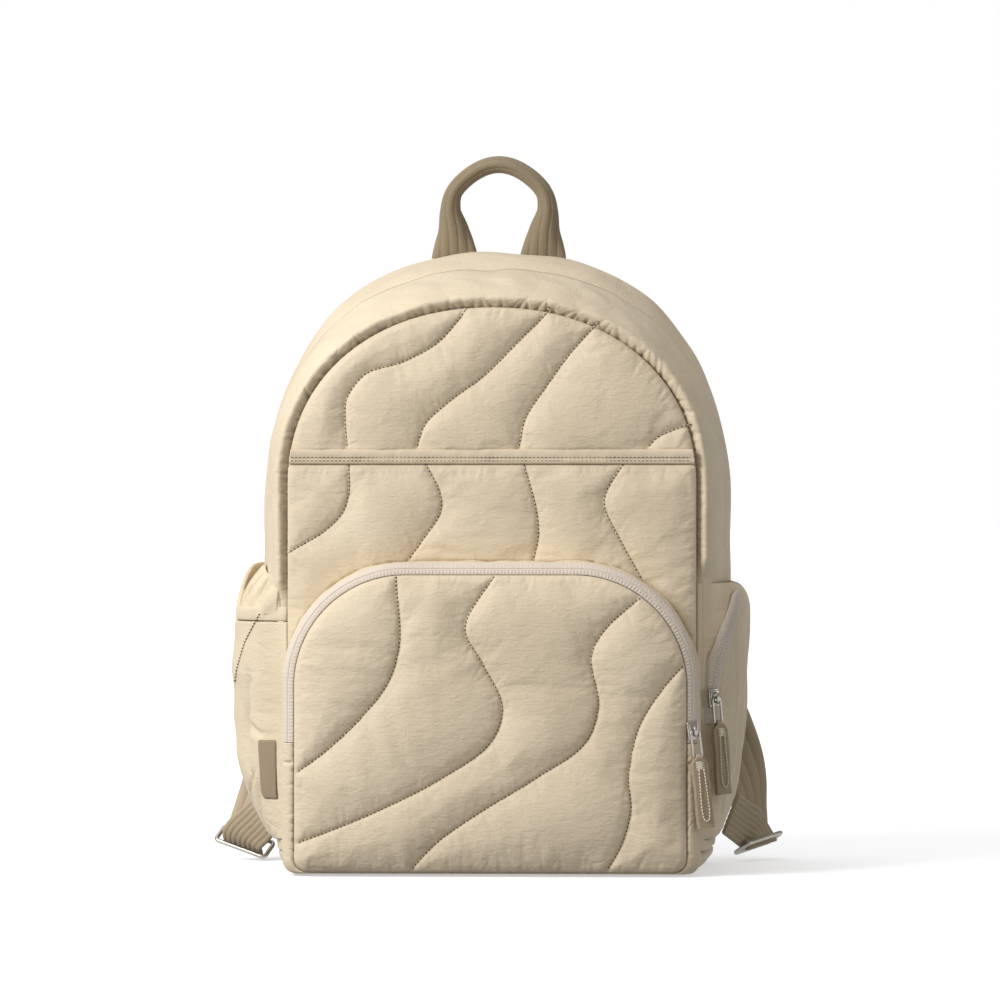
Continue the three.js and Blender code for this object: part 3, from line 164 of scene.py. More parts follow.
# %% [markdown]
# ## Cloth finishes
# The shell is nylon taslan: a matte, lightly crinkled cloth with air-textured yarn. It has a weak
# broad sheen, soft dents a couple of centimetres across, crinkles of 3 to 5 mm, and a plain weave.
# Its threads are about 0.3 mm apart, too fine to show here, so the weave is drawn at 0.9 mm.

# %% Nylon and other cloths
def wave_scale(pitch_mm):
    return 2 * math.pi / (20 * pitch_mm * MM)


def noise_scale(size_mm):
    return 1 / (size_mm * MM)


def cloth_finish(name, light, dark, roughness, sheen, layers, mottle_mm=60):
    material = bpy.data.materials.new(name)
    material.use_nodes = True
    tree = material.node_tree
    tree.nodes.clear()
    place = add_node(tree, "ShaderNodeTexCoord").outputs["Object"]
    mottle = add_node(tree, "ShaderNodeTexNoise", {"Scale": noise_scale(mottle_mm), "Detail": 3.0},
                      {"Vector": place}).outputs["Fac"]
    tone = add_node(tree, "ShaderNodeValToRGB", links={"Fac": mottle})
    tone.color_ramp.elements[0].position, tone.color_ramp.elements[1].position = 0.3, 0.7
    tone.color_ramp.elements[0].color, tone.color_ramp.elements[1].color = linear(dark), linear(light)
    shader = add_node(tree, "ShaderNodeBsdfPrincipled",
                      {"Roughness": roughness, "Sheen Weight": sheen, "Sheen Roughness": 0.45,
                       "IOR": 1.5, "Specular IOR Level": 0.22},
                      {"Base Color": tone.outputs["Color"]})
    normal = None
    for kind, size_mm, depth_mm, extra in layers:
        if kind in ("noise", "crinkle"):
            flattened = (1.0, 1.0, 2.6) if kind == "crinkle" else (1.0, 1.0, 1.0)
            drawn = add_node(tree, "ShaderNodeMapping", {"Scale": flattened}, {"Vector": place}).outputs[0]
            height = add_node(tree, "ShaderNodeTexNoise",
                              {"Scale": noise_scale(size_mm), "Detail": 3.0, "Distortion": extra},
                              {"Vector": drawn}).outputs["Fac"]
        else:
            height = add_node(tree, "ShaderNodeTexWave", {"Scale": wave_scale(size_mm), "Distortion": extra,
                                                          "Detail": 1.0, "Detail Scale": 2.0},
                              {"Vector": place}, wave_type="BANDS", bands_direction=kind).outputs["Fac"]
        bump = add_node(tree, "ShaderNodeBump", {"Strength": 1.0, "Distance": depth_mm * MM},
                        {"Height": height})
        if normal:
            tree.links.new(normal, bump.inputs["Normal"])
        normal = bump.outputs["Normal"]
    tree.links.new(normal, shader.inputs["Normal"])
    add_node(tree, "ShaderNodeOutputMaterial", links={"Surface": shader.outputs["BSDF"]})
    return material


nylon = cloth_finish("taslan_nylon", "#dccdb3", "#d3c3a9", 0.62, 0.06, [
    ("noise", 20, 1.3, 0.3), ("crinkle", 6, 0.42, 0.8), ("crinkle", 2.4, 0.16, 0.5),
    ("X", 0.9, 0.03, 0.6), ("Z", 0.9, 0.03, 0.6)])
folded_nylon = cloth_finish("folded_nylon_binding", "#dccdb4", "#d3c3aa", 0.62, 0.1, [
    ("noise", 16, 0.6, 0.2), ("noise", 4, 0.16, 0.5), ("X", 0.9, 0.03, 0.5), ("Z", 0.9, 0.03, 0.5)])
zip_tape = cloth_finish("woven_polyester_tape", "#dbcfc2", "#d1c4b7", 0.7, 0.15, [
    ("noise", 2.2, 0.12, 0.4), ("X", 0.8, 0.06, 0.8), ("Z", 0.8, 0.06, 0.8)])
grosgrain = cloth_finish("polyester_webbing", "#b3a38a", "#a4947b", 0.68, 0.15, [
    ("noise", 3, 0.1, 0.5), ("X", 0.8, 0.05, 0.6), ("Z", 0.8, 0.07, 0.6)])
# The handle's webbing is a darker copy of the strap webbing: painted shade on the handle.
handle_grosgrain_painted_shade = cloth_finish("polyester_handle_webbing", "#94866f", "#85775f", 0.72, 0.08, [
    ("noise", 3, 0.1, 0.5), ("X", 0.8, 0.05, 0.6), ("Z", 0.8, 0.07, 0.6)])
label_weave = cloth_finish("satin_label_tape", "#9a8871", "#8e7c65", 0.5, 0.1, [
    ("noise", 12, 0.3, 0.2), ("X", 0.7, 0.03, 0.3), ("Z", 0.7, 0.03, 0.3)])
twist = [("noise", 0.6, 0.1, 0.2)]
thread = cloth_finish("polyester_thread", "#dccdb2", "#cfc0a5", 0.5, 0.1, twist)
# The needle-hole finish is painted shade: a dark brown for the shade inside each hole.
hole_painted_shade = cloth_finish("shaded_needle_hole", "#6a5a44", "#594a37", 0.9, 0.0, twist)
cream_thread = cloth_finish("cream_bartack_thread", "#efe4cf", "#e4d8c1", 0.45, 0.1, twist)

# %% [markdown]
# The buckles and sliders are zinc castings and steel wire with a bright nickel plate. A metal has
# no colour of its own under the plate: it shows the room, so it gets a low roughness and the
# faint swirls that handling leaves.

# %% Nickel
nickel = bpy.data.materials.new("nickel_plate")
nickel.use_nodes = True
plate_tree = nickel.node_tree
plate = plate_tree.nodes["Principled BSDF"]
plate.inputs["Metallic"].default_value = 1.0
plate.inputs["Base Color"].default_value = linear("#aaa59d")
plate_place = add_node(plate_tree, "ShaderNodeTexCoord").outputs["Object"]
swirl = add_node(plate_tree, "ShaderNodeTexNoise", {"Scale": noise_scale(3), "Detail": 4.0},
                 {"Vector": plate_place}).outputs["Fac"]
wear = add_node(plate_tree, "ShaderNodeMapRange", {"To Min": 0.24, "To Max": 0.4}, {"Value": swirl})
plate_tree.links.new(wear.outputs["Result"], plate.inputs["Roughness"])
scratch = add_node(plate_tree, "ShaderNodeBump", {"Strength": 0.6, "Distance": 0.04 * MM}, {"Height": swirl})
plate_tree.links.new(scratch.outputs["Normal"], plate.inputs["Normal"])
print("materials:", [m.name for m in (nylon, folded_nylon, zip_tape, grosgrain, label_weave, nickel)])

# %% [markdown]
# ## Helpers for shapes
# All lengths are worked in millimetres and turned to metres when a piece is finished. Most cloth
# here is a grid bent into place: a grid has even faces, which wrinkle and smooth well. Webbing,
# zip tape and wire are grids too, each rolled into a tube that follows its line.

# %% Finish a piece
def show(name, bm, finish, stands_for=(), levels=0):
    bmesh.ops.recalc_face_normals(bm, faces=bm.faces)
    mesh = bpy.data.meshes.new(name)
    bm.to_mesh(mesh)
    bm.free()
    mesh.transform(Matrix.Scale(MM, 4))
    mesh.shade_smooth()
    mesh.materials.append(finish)
    piece = bpy.data.objects.new(name, mesh)
    scene.collection.objects.link(piece)
    if levels:
        smoother = piece.modifiers.new("Smooth", "SUBSURF")
        smoother.levels = smoother.render_levels = levels
    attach(piece, "root")
    if stands_for:
        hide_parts(*stands_for)
    print(name, len(mesh.polygons) * 4 ** levels, "faces")
    return piece


# %% A grid bent into a closed shell
def bent_shell(columns, rows, place):
    """place(u, v) gives points as arrays; v runs once round the closed section, u from end to end."""
    bm = bmesh.new()
    bmesh.ops.create_grid(bm, x_segments=columns, y_segments=rows, size=0.5)
    flat = np.array([v.co for v in bm.verts])
    steps = np.round((flat[:, :2] + 0.5) * (columns, rows))
    points = place(steps[:, 0] / columns, steps[:, 1] % rows / rows)
    for v, p in zip(bm.verts, points):
        v.co = p
    bmesh.ops.remove_doubles(bm, verts=bm.verts, dist=1e-4)
    bmesh.ops.holes_fill(bm, edges=[e for e in bm.edges if e.is_boundary], sides=0)
    return bm


# %% Small steps that many pieces share
def there_and_back(v, share):
    """Along the visible side while v is under share, then back along the hidden side."""
    outside = v < share
    return outside, np.where(outside, v / share, (1 - v) / (1 - share))


def ease(t):
    t = np.clip(t, 0, 1)
    return t * t * (3 - 2 * t)


def bent(value, power):
    """Keeps the sign of a sine or cosine, so that a power under 1 squares a round section off."""
    return np.sign(value) * np.abs(value) ** power


def unit(v):
    return v / np.linalg.norm(v, axis=-1, keepdims=True)


BACKWARDS = np.array([0.0, 1.0, 0.0])


def read_off(line, places, at):
    """The points between those of a line, whose own places along it are given."""
    return np.column_stack([np.interp(at, places, column) for column in line.T])


# %% Nearest place on lines of points
def nearest_on(lines, points):
    """For each point the distance to the nearest line, the place there and the length run to it."""
    best = np.full(len(points), 1e9)
    foot = np.zeros((len(points), 2))
    along = np.zeros(len(points))
    length = 0.0
    for line in lines:
        for a, b in zip(line[:-1], line[1:]):
            edge = b - a
            size = max(np.hypot(*edge), 1e-9)
            t = np.clip(((points - a) @ edge) / size ** 2, 0, 1)
            near = a + t[:, None] * edge
            gap = np.hypot(*(points - near).T)
            closer = gap < best
            best[closer], foot[closer], along[closer] = gap[closer], near[closer], (length + t * size)[closer]
            length += size
    return best, foot, along


def inside(outline, points):
    a, b = outline, np.roll(outline, -1, axis=0)
    x, z = points[:, :1], points[:, 1:]
    crosses = (a[:, 1] > z) != (b[:, 1] > z)
    at = a[:, 0] + (z - a[:, 1]) * (b[:, 0] - a[:, 0]) / np.where(b[:, 1] == a[:, 1], 1e-9, b[:, 1] - a[:, 1])
    return (crosses & (x < at)).sum(axis=1) % 2 == 1


def curve_at(points, share):
    """A centripetal Catmull-Rom curve: share 0 is its first point, 1 its last."""
    p = np.array(points, float)
    last = len(p) - 1
    at = np.clip(share, 0, 1) * last
    k = np.minimum(at.astype(int), last - 1)
    t = (at - k)[:, None]
    p = np.vstack([2 * p[0] - p[1], p, 2 * p[-1] - p[-2]])
    p0, p1, p2, p3 = p[k], p[k + 1], p[k + 2], p[k + 3]
    d0, d1, d2 = (np.maximum(np.linalg.norm(b - a, axis=1, keepdims=True), 1e-6) ** 0.5
                  for a, b in ((p0, p1), (p1, p2), (p2, p3)))
    leave = ((p1 - p0) / d0 - (p2 - p0) / (d0 + d1) + (p2 - p1) / d1) * d1
    arrive = ((p2 - p1) / d1 - (p3 - p1) / (d1 + d2) + (p3 - p2) / d2) * d1
    squared, cubed = 3 * (p2 - p1) - 2 * leave - arrive, leave + arrive - 2 * (p2 - p1)
    return p1 + leave * t + squared * t ** 2 + cubed * t ** 3


def smooth_line(points, spacing=1.5):
    return evenly(curve_at(points, np.linspace(0, 1, 40 * len(points))), spacing)


def evenly(line, spacing):
    gaps = np.r_[0, np.cumsum(np.linalg.norm(np.diff(line, axis=0), axis=1))]
    count = max(2, int(round(gaps[-1] / spacing)) + 1)
    return read_off(line, gaps, np.linspace(0, gaps[-1], count))


# %% [markdown]
# ## The body's shape
# Seen from the front the body is an arch: straight sides that lean in a little at the foot, and a
# superellipse over the shoulders. It grows from the front seam to the back seam, and the padded
# wall swells out of its seams on the way. Every piece that lies on the body asks this function.

# %% Body
FRONT_HALF, FRONT_HEIGHT, FRONT_SHOULDER = 131.5, 364.0, 0.687 * 364
BACK_HALF, BACK_HEIGHT, BACK_SHOULDER = 149.0, 401.0, 0.529 * 401
DEPTH, PUFF, FOOT = 120.0, 12.0, 14.0


def body_size(depth, puff, inset=0.0):
    half = FRONT_HALF + (BACK_HALF - FRONT_HALF) * depth + PUFF * puff
    return {
        "half": half - inset,
        "foot": FRONT_HALF + (half - FRONT_HALF) * 0.55 - inset,
        "height": FRONT_HEIGHT + (BACK_HEIGHT - FRONT_HEIGHT) * depth + PUFF * puff - inset,
        "shoulder": FRONT_SHOULDER + (BACK_SHOULDER - FRONT_SHOULDER) * depth,
        "power": 2.15 + (2.46 - 2.15) * depth,
    }


def side_at(size, z):
    share = np.clip((z - FOOT) / (size["shoulder"] - FOOT), 0, 1)
    return size["foot"] + (size["half"] - size["foot"]) * np.sin(math.pi / 2 * share)


def arch(size, share, outward=0.0):
    """share 0 is the left foot, 0.5 the top, 1 the right foot. Gives x and z."""
    mirrored = share > 0.5
    part = np.where(mirrored, 1 - share, share) * 2
    z_side = FOOT + (size["shoulder"] - FOOT) * np.minimum(part / 0.5, 1)
    angle = np.clip((part - 0.5) / 0.5, 0, 1) * math.pi / 2
    cos, sin = np.maximum(np.cos(angle), 0), np.sin(angle)
    x_arch = (size["half"] + outward) * cos ** (2 / size["power"])
    z_arch = size["shoulder"] + (size["height"] + outward - size["shoulder"]) * sin ** (2 / size["power"])
    low = part <= 0.5
    x = np.where(low, side_at(size, z_side) + outward, x_arch)
    z = np.where(low, z_side, z_arch)
    return np.where(mirrored, x, -x), z


share_table = np.linspace(0, 1, 4001)
seam_x, seam_z = arch(body_size(0.0, 0.0), share_table)
seam_length = np.r_[0, np.cumsum(np.hypot(np.diff(seam_x), np.diff(seam_z)))]
ARCH_LENGTH = seam_length[-1]


def share_at(length):
    return np.interp(length, seam_length, share_table)


print("front seam", round(ARCH_LENGTH), "mm from foot to foot")

# %% [markdown]
# ## Quilted panels
# Each panel is cut to its outline, sewn along wavy seams and filled. Modelled by hand, the small
# puckers that run into a seam would take for ever, so Cloth makes them. The grid's points near a
# seam are drawn onto it and pinned. The cloth between grows by a few per cent, as if cut too
# large, and pressure blows it forwards, so it has to wrinkle where it is held, as a real one does.

# %% Cloth under pressure
PRESSURE, GROWTH, FRAMES = 4.0, 0.022, 20


def blown_up(bm, pinned, cap, plane):
    """Pins some points, lets the rest swell forwards in Cloth and gives the new places."""
    start = np.array([v.co for v in bm.verts])
    mesh = bpy.data.meshes.new("swelling")
    bm.to_mesh(mesh)
    mesh.transform(Matrix.Scale(MM, 4))
    swelling = bpy.data.objects.new("swelling", mesh)
    scene.collection.objects.link(swelling)
    held = swelling.vertex_groups.new(name="held")
    held.add([int(i) for i in np.flatnonzero(pinned)], 1.0, "REPLACE")
    cloth = swelling.modifiers.new("Cloth", "CLOTH")
    cloth.settings.quality = 5
    cloth.settings.mass = 0.12
    cloth.settings.tension_stiffness = cloth.settings.compression_stiffness = 12
    cloth.settings.shear_stiffness = 4
    cloth.settings.bending_stiffness = 0.25
    cloth.settings.air_damping = 2
    cloth.settings.vertex_group_mass = "held"
    cloth.settings.use_pressure = True
    cloth.settings.uniform_pressure_force = PRESSURE
    cloth.settings.shrink_min = -GROWTH
    cloth.settings.effector_weights.gravity = 0
    cloth.point_cache.frame_start, cloth.point_cache.frame_end = 1, FRAMES
    for frame_number in range(1, FRAMES + 1):
        scene.frame_set(frame_number)
    swollen = swelling.evaluated_get(bpy.context.evaluated_depsgraph_get()).to_mesh()
    moved = np.array([v.co for v in swollen.vertices]) / MM
    bpy.data.objects.remove(swelling)
    scene.frame_set(1)
    rise = plane - moved[:, 1]
    print("  swelled by up to", round(float(rise.max()), 1), "mm")
    moved[:, 1] = plane - np.where(rise > 0, cap * np.tanh(rise / cap), rise * 0.3)
    moved[pinned] = start[pinned]
    return moved


# %% A finer mesh from a coarse one
def smoothed(bm, levels):
    """Applies a subdivision surface, so that finer folds can be pressed into the result."""
    coarse = bpy.data.meshes.new("smoothing")
    bm.to_mesh(coarse)
    bm.free()
    piece = bpy.data.objects.new("smoothing", coarse)
    scene.collection.objects.link(piece)
    piece.modifiers.new("Smooth", "SUBSURF").levels = levels
    fine = bpy.data.meshes.new_from_object(piece.evaluated_get(bpy.context.evaluated_depsgraph_get()))
    bpy.data.objects.remove(piece)
    bm = bmesh.new()
    bm.from_mesh(fine)
    bpy.data.meshes.remove(fine)
    return bm


# %% Soft unevenness and small folds
def dents(points, size_mm, seed):
    """Gentle bumps about as wide as size_mm, roughly between -1 and 1."""
    chance = np.random.default_rng(seed)
    waves = chance.normal(size=(9, 3))
    waves *= (2 * math.pi / (size_mm * chance.uniform(1.2, 2.6, 9)) / np.linalg.norm(waves, axis=1))[:, None]
    return np.sin(points @ waves.T + chance.uniform(0, 2 * math.pi, 9)).sum(axis=1) / 4.0


def ruches(along, away, length, pitch, depth, reach, width, seed, slant=0.35):
    """Depth of small folds that run out from a gathered seam. All lengths are in mm."""
    chance = np.random.default_rng(seed)
    sunk = np.zeros(len(along))
    at = chance.uniform(*pitch) / 2
    while at < length:
        deep, far, wide = chance.uniform(*depth), chance.uniform(*reach), chance.uniform(*width)
        lean = chance.normal() * slant
        near = (away < far) & (np.abs(along - at) < 3 * wide + abs(lean) * far + 1)
        left = 1 - away[near] / far
        gap = (along[near] - at - lean * away[near]) / (wide * (0.35 + 0.65 * left))
        sunk[near] += deep * left ** 1.2 * np.exp(-gap ** 2)
        at += chance.uniform(*pitch)
    return sunk


# %% One quilted panel
SEAM_EDGE, CHANNEL = 2.6, 30.0


def quilted_panel(outline, seams, x_lines, z_lines, plane, puff, still, seed, dome_at=None):
    front = plane - SEAM_EDGE
    bm = bmesh.new()
    bmesh.ops.create_grid(bm, x_segments=len(x_lines) - 1, y_segments=len(z_lines) - 1, size=0.5)
    for v in bm.verts:
        column, row = round((v.co.x + 0.5) * (len(x_lines) - 1)), round((v.co.y + 0.5) * (len(z_lines) - 1))
        v.co = (x_lines[column], front, z_lines[row])
    spacing = np.diff(x_lines).mean()
    border = np.vstack([outline, outline[:1]])
    flat = np.array([(v.co.x, v.co.z) for v in bm.verts])
    gap = nearest_on([border], flat)[0]
    keep = inside(outline, flat) | (gap < 0.3 * spacing)
    bmesh.ops.delete(bm, geom=[v for v, k in zip(bm.verts[:], keep) if not k], context="VERTS")
    bmesh.ops.delete(bm, geom=[v for v in bm.verts if not v.link_faces], context="VERTS")
    rim = [v for v in bm.verts if v.is_boundary]
    foot = nearest_on([border], np.array([(v.co.x, v.co.z) for v in rim]))[1]
    for v, p in zip(rim, foot):
        v.co.x, v.co.z = p
    bmesh.ops.remove_doubles(bm, verts=bm.verts, dist=0.25)

    bm.verts.ensure_lookup_table()
    flat = np.array([(v.co.x, v.co.z) for v in bm.verts])
    gap, foot, _ = nearest_on(seams, flat)
    on_rim = np.array([v.is_boundary for v in bm.verts])
    on_seam = (gap < 0.5 * spacing) & ~on_rim
    for i in np.flatnonzero(on_seam):
        bm.verts[i].co.x, bm.verts[i].co.z = foot[i]
    sewn = [bm.verts[i] for i in np.flatnonzero(on_seam | ((gap < 0.5 * spacing) & on_rim))]
    bmesh.ops.connect_verts(bm, verts=sewn)
    bm.verts.ensure_lookup_table()
    flat = np.array([(v.co.x, v.co.z) for v in bm.verts])
    flat_mask = still(flat[:, 0], flat[:, 1])
    pinned = on_rim | on_seam | flat_mask
    reach = np.minimum(nearest_on([border] + seams, flat)[0], CHANNEL)
    reach[flat_mask] = 0
    swell = puff * np.sqrt(np.clip(1 - (1 - reach / CHANNEL) ** 2, 0, 1))
    swell[pinned] = 0
    for v, rise in zip(bm.verts, swell * 0.35):
        v.co.y = front - rise
    moved = blown_up(bm, pinned, puff * 1.3, front)
    if moved is None:
        moved = np.array([(v.co.x, front - rise, v.co.z) for v, rise in zip(bm.verts, swell)])
    for v, p, rise in zip(bm.verts, moved, swell):
        v.co = (p[0], front - 0.55 * rise - 0.5 * (front - p[1]), p[2])
    crease = bm.edges.layers.float.new("crease_edge")
    sewn_set = set(sewn)
    for e in bm.edges:
        if e.is_boundary or (e.verts[0] in sewn_set and e.verts[1] in sewn_set):
            e[crease] = 0.8
    edges = [e for e in bm.edges if e.is_boundary]
    walls = bmesh.ops.extrude_edge_only(bm, edges=edges)["geom"]
    for v in walls:
        if isinstance(v, bmesh.types.BMVert):
            v.co.y = plane
    bmesh.ops.triangle_fill(bm, use_beauty=False, edges=[e for e in bm.edges if e.is_boundary])

    bm = smoothed(bm, 1)
    raised = [v for v in bm.verts if v.co.y < front + 0.6]
    flat = np.array([(v.co.x, v.co.z) for v in raised])
    lines = seams + [border]
    total = sum(np.linalg.norm(np.diff(line, axis=0), axis=1).sum() for line in lines)
    gap, _, along = nearest_on(lines, flat)
    sunk = ruches(along, gap, total, (1.8, 5.0), (0.12, 0.6), (5, 19), (0.8, 1.7), seed, 0.5)
    sunk *= (1 - np.exp(-gap / 1.2)) * ~still(flat[:, 0], flat[:, 1])
    lift = dome_at(flat) if dome_at else np.zeros(len(flat))
    for v, down, up in zip(raised, sunk, lift):
        v.co.y += down - up
    return bm


# %% Places of the seams on the front
def shares(rows, half, height, lift=0.0):
    return smooth_line([(across * half, lift + up * height) for across, up in rows])


PANEL_PLANE, SLIP_PLANE = -60.3, -63.2
POCKET_HALF, POCKET_TOP, POCKET_BOTTOM = 125.3, 0.5275 * 364, 2.5
POCKET_CORNER, POCKET_FOOT, FOOT_GROW = 0.37 * 0.5275 * 364, 9.0, 1.5
MOUTH, BINDING = 0.736 * 364, 9.5

size_front = body_size(0.0, 0.0)
arch_x, arch_z = arch(size_front, share_at(np.linspace(0, ARCH_LENGTH, 500)))
foot_angle = np.linspace(0, math.pi / 2, 12)
foot_x = size_front["foot"] - FOOT + FOOT * np.cos(foot_angle)
foot_z = FOOT - FOOT * np.sin(foot_angle)
body_outline = np.vstack([
    np.column_stack([arch_x, arch_z]),
    np.column_stack([foot_x, foot_z])[1:],
    np.column_stack([-foot_x, foot_z])[::-1][:-1],
])

upper_seams = [shares(rows, FRONT_HALF, FRONT_HEIGHT) for rows in (
    [(-0.125, 1.0), (-0.139, 0.99), (-0.272, 0.936), (-0.436, 0.904), (-0.619, 0.882), (-0.713, 0.837),
     (-0.72, 0.807), (-0.708, 0.75)],
    [(0.28, 1.0), (0.255, 0.985), (0.131, 0.94), (-0.035, 0.88), (-0.203, 0.835), (-0.327, 0.793),
     (-0.369, 0.75)],
    [(0.53, 0.98), (0.515, 0.972), (0.381, 0.917), (0.262, 0.858), (0.166, 0.804), (0.131, 0.75)],
    [(0.97, 0.793), (0.95, 0.791), (0.812, 0.77), (0.76, 0.75)],
)]
slip_seams = [shares(rows, FRONT_HALF, FRONT_HEIGHT) for rows in (
    [(-0.705, 0.736), (-0.698, 0.68), (-0.728, 0.639), (-0.817, 0.605), (-1.0, 0.566)],
    [(-0.347, 0.736), (-0.257, 0.676), (-0.248, 0.641), (-0.337, 0.589), (-0.436, 0.54)],
    [(0.146, 0.736), (0.213, 0.65), (0.228, 0.596), (0.193, 0.54)],
    [(0.663, 0.736), (0.554, 0.667), (0.554, 0.644), (0.619, 0.595), (0.748, 0.51)],
)]
pocket_seams = [shares(rows, POCKET_HALF, POCKET_TOP - POCKET_BOTTOM, POCKET_BOTTOM) for rows in (
    [(-0.48, 1.0), (-0.46, 0.77), (-0.52, 0.637), (-0.667, 0.513), (-0.857, 0.396), (-1.0, 0.329)],
    [(0.023, 1.0), (-0.126, 0.822), (-0.039, 0.705), (0.064, 0.557), (0.002, 0.436), (-0.265, 0.309),
     (-0.533, 0.218), (-0.795, 0.144), (-1.0, 0.094)],
    [(0.778, 0.933), (0.583, 0.815), (0.516, 0.728), (0.552, 0.56), (0.485, 0.436), (0.244, 0.322),
     (-0.06, 0.198), (-0.27, 0.1), (-0.414, 0.0)],
    [(1.0, 0.711), (0.866, 0.607), (0.758, 0.487), (0.706, 0.322), (0.717, 0.211), (0.665, 0.087),
     (0.588, 0.0)],
)]


# %% Outline of the front pocket
quarter_turn = np.linspace(0, math.pi / 2, 40)


def front_half_at(z):
    return np.interp(z, arch_z[:250], -arch_x[:250])


def pocket_arcs(margin, foot_margin):
    """The left foot and the left upper corner of the pocket's outline, moved out by a margin."""
    half, radius = POCKET_HALF + margin, POCKET_CORNER + margin
    foot = np.column_stack([-(half - POCKET_FOOT) - POCKET_FOOT * np.sin(quarter_turn),
                            POCKET_BOTTOM + POCKET_FOOT - (POCKET_FOOT + foot_margin) * np.cos(quarter_turn)])
    corner = np.column_stack([-(POCKET_HALF - POCKET_CORNER) - radius * np.cos(quarter_turn),
                              POCKET_TOP - POCKET_CORNER + radius * np.sin(quarter_turn)])
    return foot, corner


def pocket_outline(margin, foot_margin, spacing=2.0):
    left = np.vstack(pocket_arcs(margin, foot_margin))
    line = np.vstack([left, (left * (-1, 1))[::-1]])
    return evenly(np.vstack([line, line[:1]]), spacing)[:-1]


def level_lines(low, fine_from, high, fine, coarse):
    coarse_part = np.linspace(low, fine_from, max(2, int((fine_from - low) / coarse) + 1))
    fine_part = np.linspace(fine_from, high, int((high - fine_from) / fine) + 1)
    return np.r_[coarse_part[:-1], fine_part]


# %% [markdown]
# The front is three quilted panels, one over another: the upper front, the slip pocket that lies
# shut on it, and the front pocket. Where a panel is hidden by the next it stays flat.

# %% Make the three panels
GRID = 2.0
wide = np.linspace(-FRONT_HALF - 1, FRONT_HALF + 1, int(2 * FRONT_HALF / GRID) + 1)
upper = quilted_panel(body_outline, upper_seams, wide, level_lines(-1, 262, 366, GRID, 22),
                      PANEL_PLANE, 7.0, lambda x, z: z < MOUTH + 3, 101)
show("front_panel_quilted", upper, nylon, ["front_panel"])

slip_top = MOUTH - BINDING / 2 - 0.3
edge_x = front_half_at(slip_top)
start = int(np.argmax(body_outline[:, 1] > slip_top))
stop = int(len(arch_z) - np.argmax(arch_z[::-1] > slip_top))
slip_corners = [(-edge_x, slip_top), (edge_x, slip_top)]
slip_outline = np.vstack([body_outline[:start], slip_corners, body_outline[stop:]])
pocket_seat = pocket_outline(8.0, FOOT_GROW)


def behind_pocket(x, z):
    return inside(pocket_seat, np.column_stack([x, z])) | (z < 120)


slip = quilted_panel(slip_outline, slip_seams, wide, level_lines(-1, 116, slip_top + 1, GRID, 22),
                     SLIP_PLANE, 6.0, behind_pocket, 102)
show("slip_pocket_quilted", slip, nylon, ["slip_pocket_panel"])

SEAM_PLANE, ZIP_PLANE, ZIP_TAPE, ZIP_WIDTH = -93.1, -88.1, 1.4, 7.7
pocket_wide = np.linspace(-POCKET_HALF - 1, POCKET_HALF + 1, int(2 * POCKET_HALF / GRID) + 1)
pocket_cut = pocket_outline(0, 0)
pocket_border = np.vstack([pocket_cut, pocket_cut[:1]])


def pocket_dome(points):
    gap = nearest_on([pocket_border], points)[0]
    return 4.0 * np.sin(math.pi / 2 * np.clip(gap / 45, 0, 1))


pocket_high = np.linspace(POCKET_BOTTOM - 1, POCKET_TOP + 1, 96)
pocket = quilted_panel(pocket_cut, pocket_seams, pocket_wide, pocket_high, SEAM_PLANE + ZIP_TAPE, 7.5,
                       lambda x, z: np.zeros(len(x), bool), 103, pocket_dome)
show("front_pocket_quilted", pocket, nylon, ["front_pocket_panel"])

# %% [markdown]
# ## The rim and the walls
# The side wall is two padded bands. The front one rolls out of the front seam as a fat rim. Its
# cloth is longer than the seam it is sewn to, so it is gathered into small ruches all the way
# round. They are short dark folds, widest at the seam, and no two are alike. A dense grid is bent
# into the roll and each fold is pressed into it, with chance seeded so every run is the same.

# %% Front rim
RIM_WALL = 9.0


def front_rim(u, v):
    along = u * ARCH_LENGTH
    share = share_at(along)
    outside, t = there_and_back(v, 0.74)
    turn = np.clip(t / 0.7, 0, 1) * math.pi / 2
    flap = np.clip((t - 0.7) / 0.3, 0, 1)
    z_seam = arch(size_front, share)[1]
    pocket_mouth = np.where(share < 0.5, 176.0, 190.0)
    bare = np.clip((z_seam - pocket_mouth) / 12, 0, 1)
    rolled = -60.4 + 26.4 * (1 - np.cos(turn)) - (2 + 6.5 * bare) * np.sin(2 * turn) + 28 * flap
    y = np.where(outside, rolled, -60 + 54 * t)
    puff = 0.97 * np.sin(turn) ** 0.8 - 0.07 * flap
    size = body_size(np.clip((y + 60) / DEPTH, 0, 1), puff, np.where(outside, 0.0, RIM_WALL))
    x, z = arch(size, share)
    at = np.column_stack([x, y, z])
    sunk = ruches(along, 44 * t, ARCH_LENGTH, (3.2, 7.0), (1.0, 2.9), (7, 17), (1.0, 2.0), 11)
    sunk += ruches(along, 44 * t, ARCH_LENGTH, (9, 26), (0.3, 0.9), (18, 34), (2.2, 4.2), 12, 0.6)
    sunk *= bare * (0.4 + 0.6 * np.clip((z_seam - 235) / 70, 0, 1))
    sunk = np.where(outside, sunk - 0.7 * dents(at, 17, 3) * np.sin(turn), 0)
    x, z = arch(size, share, -sunk * np.sin(turn))
    return np.column_stack([x, y + sunk * np.cos(turn), z])


rim = bent_shell(1040, 44, front_rim)
show("front_rim_gathered", rim, nylon, ["gusset_front_band"])

# %% [markdown]
# The back band starts under the flap that covers the main zip, a few millimetres lower, which is
# why a soft line runs over the top of the bag. The base turns up at both ends to meet the sides.

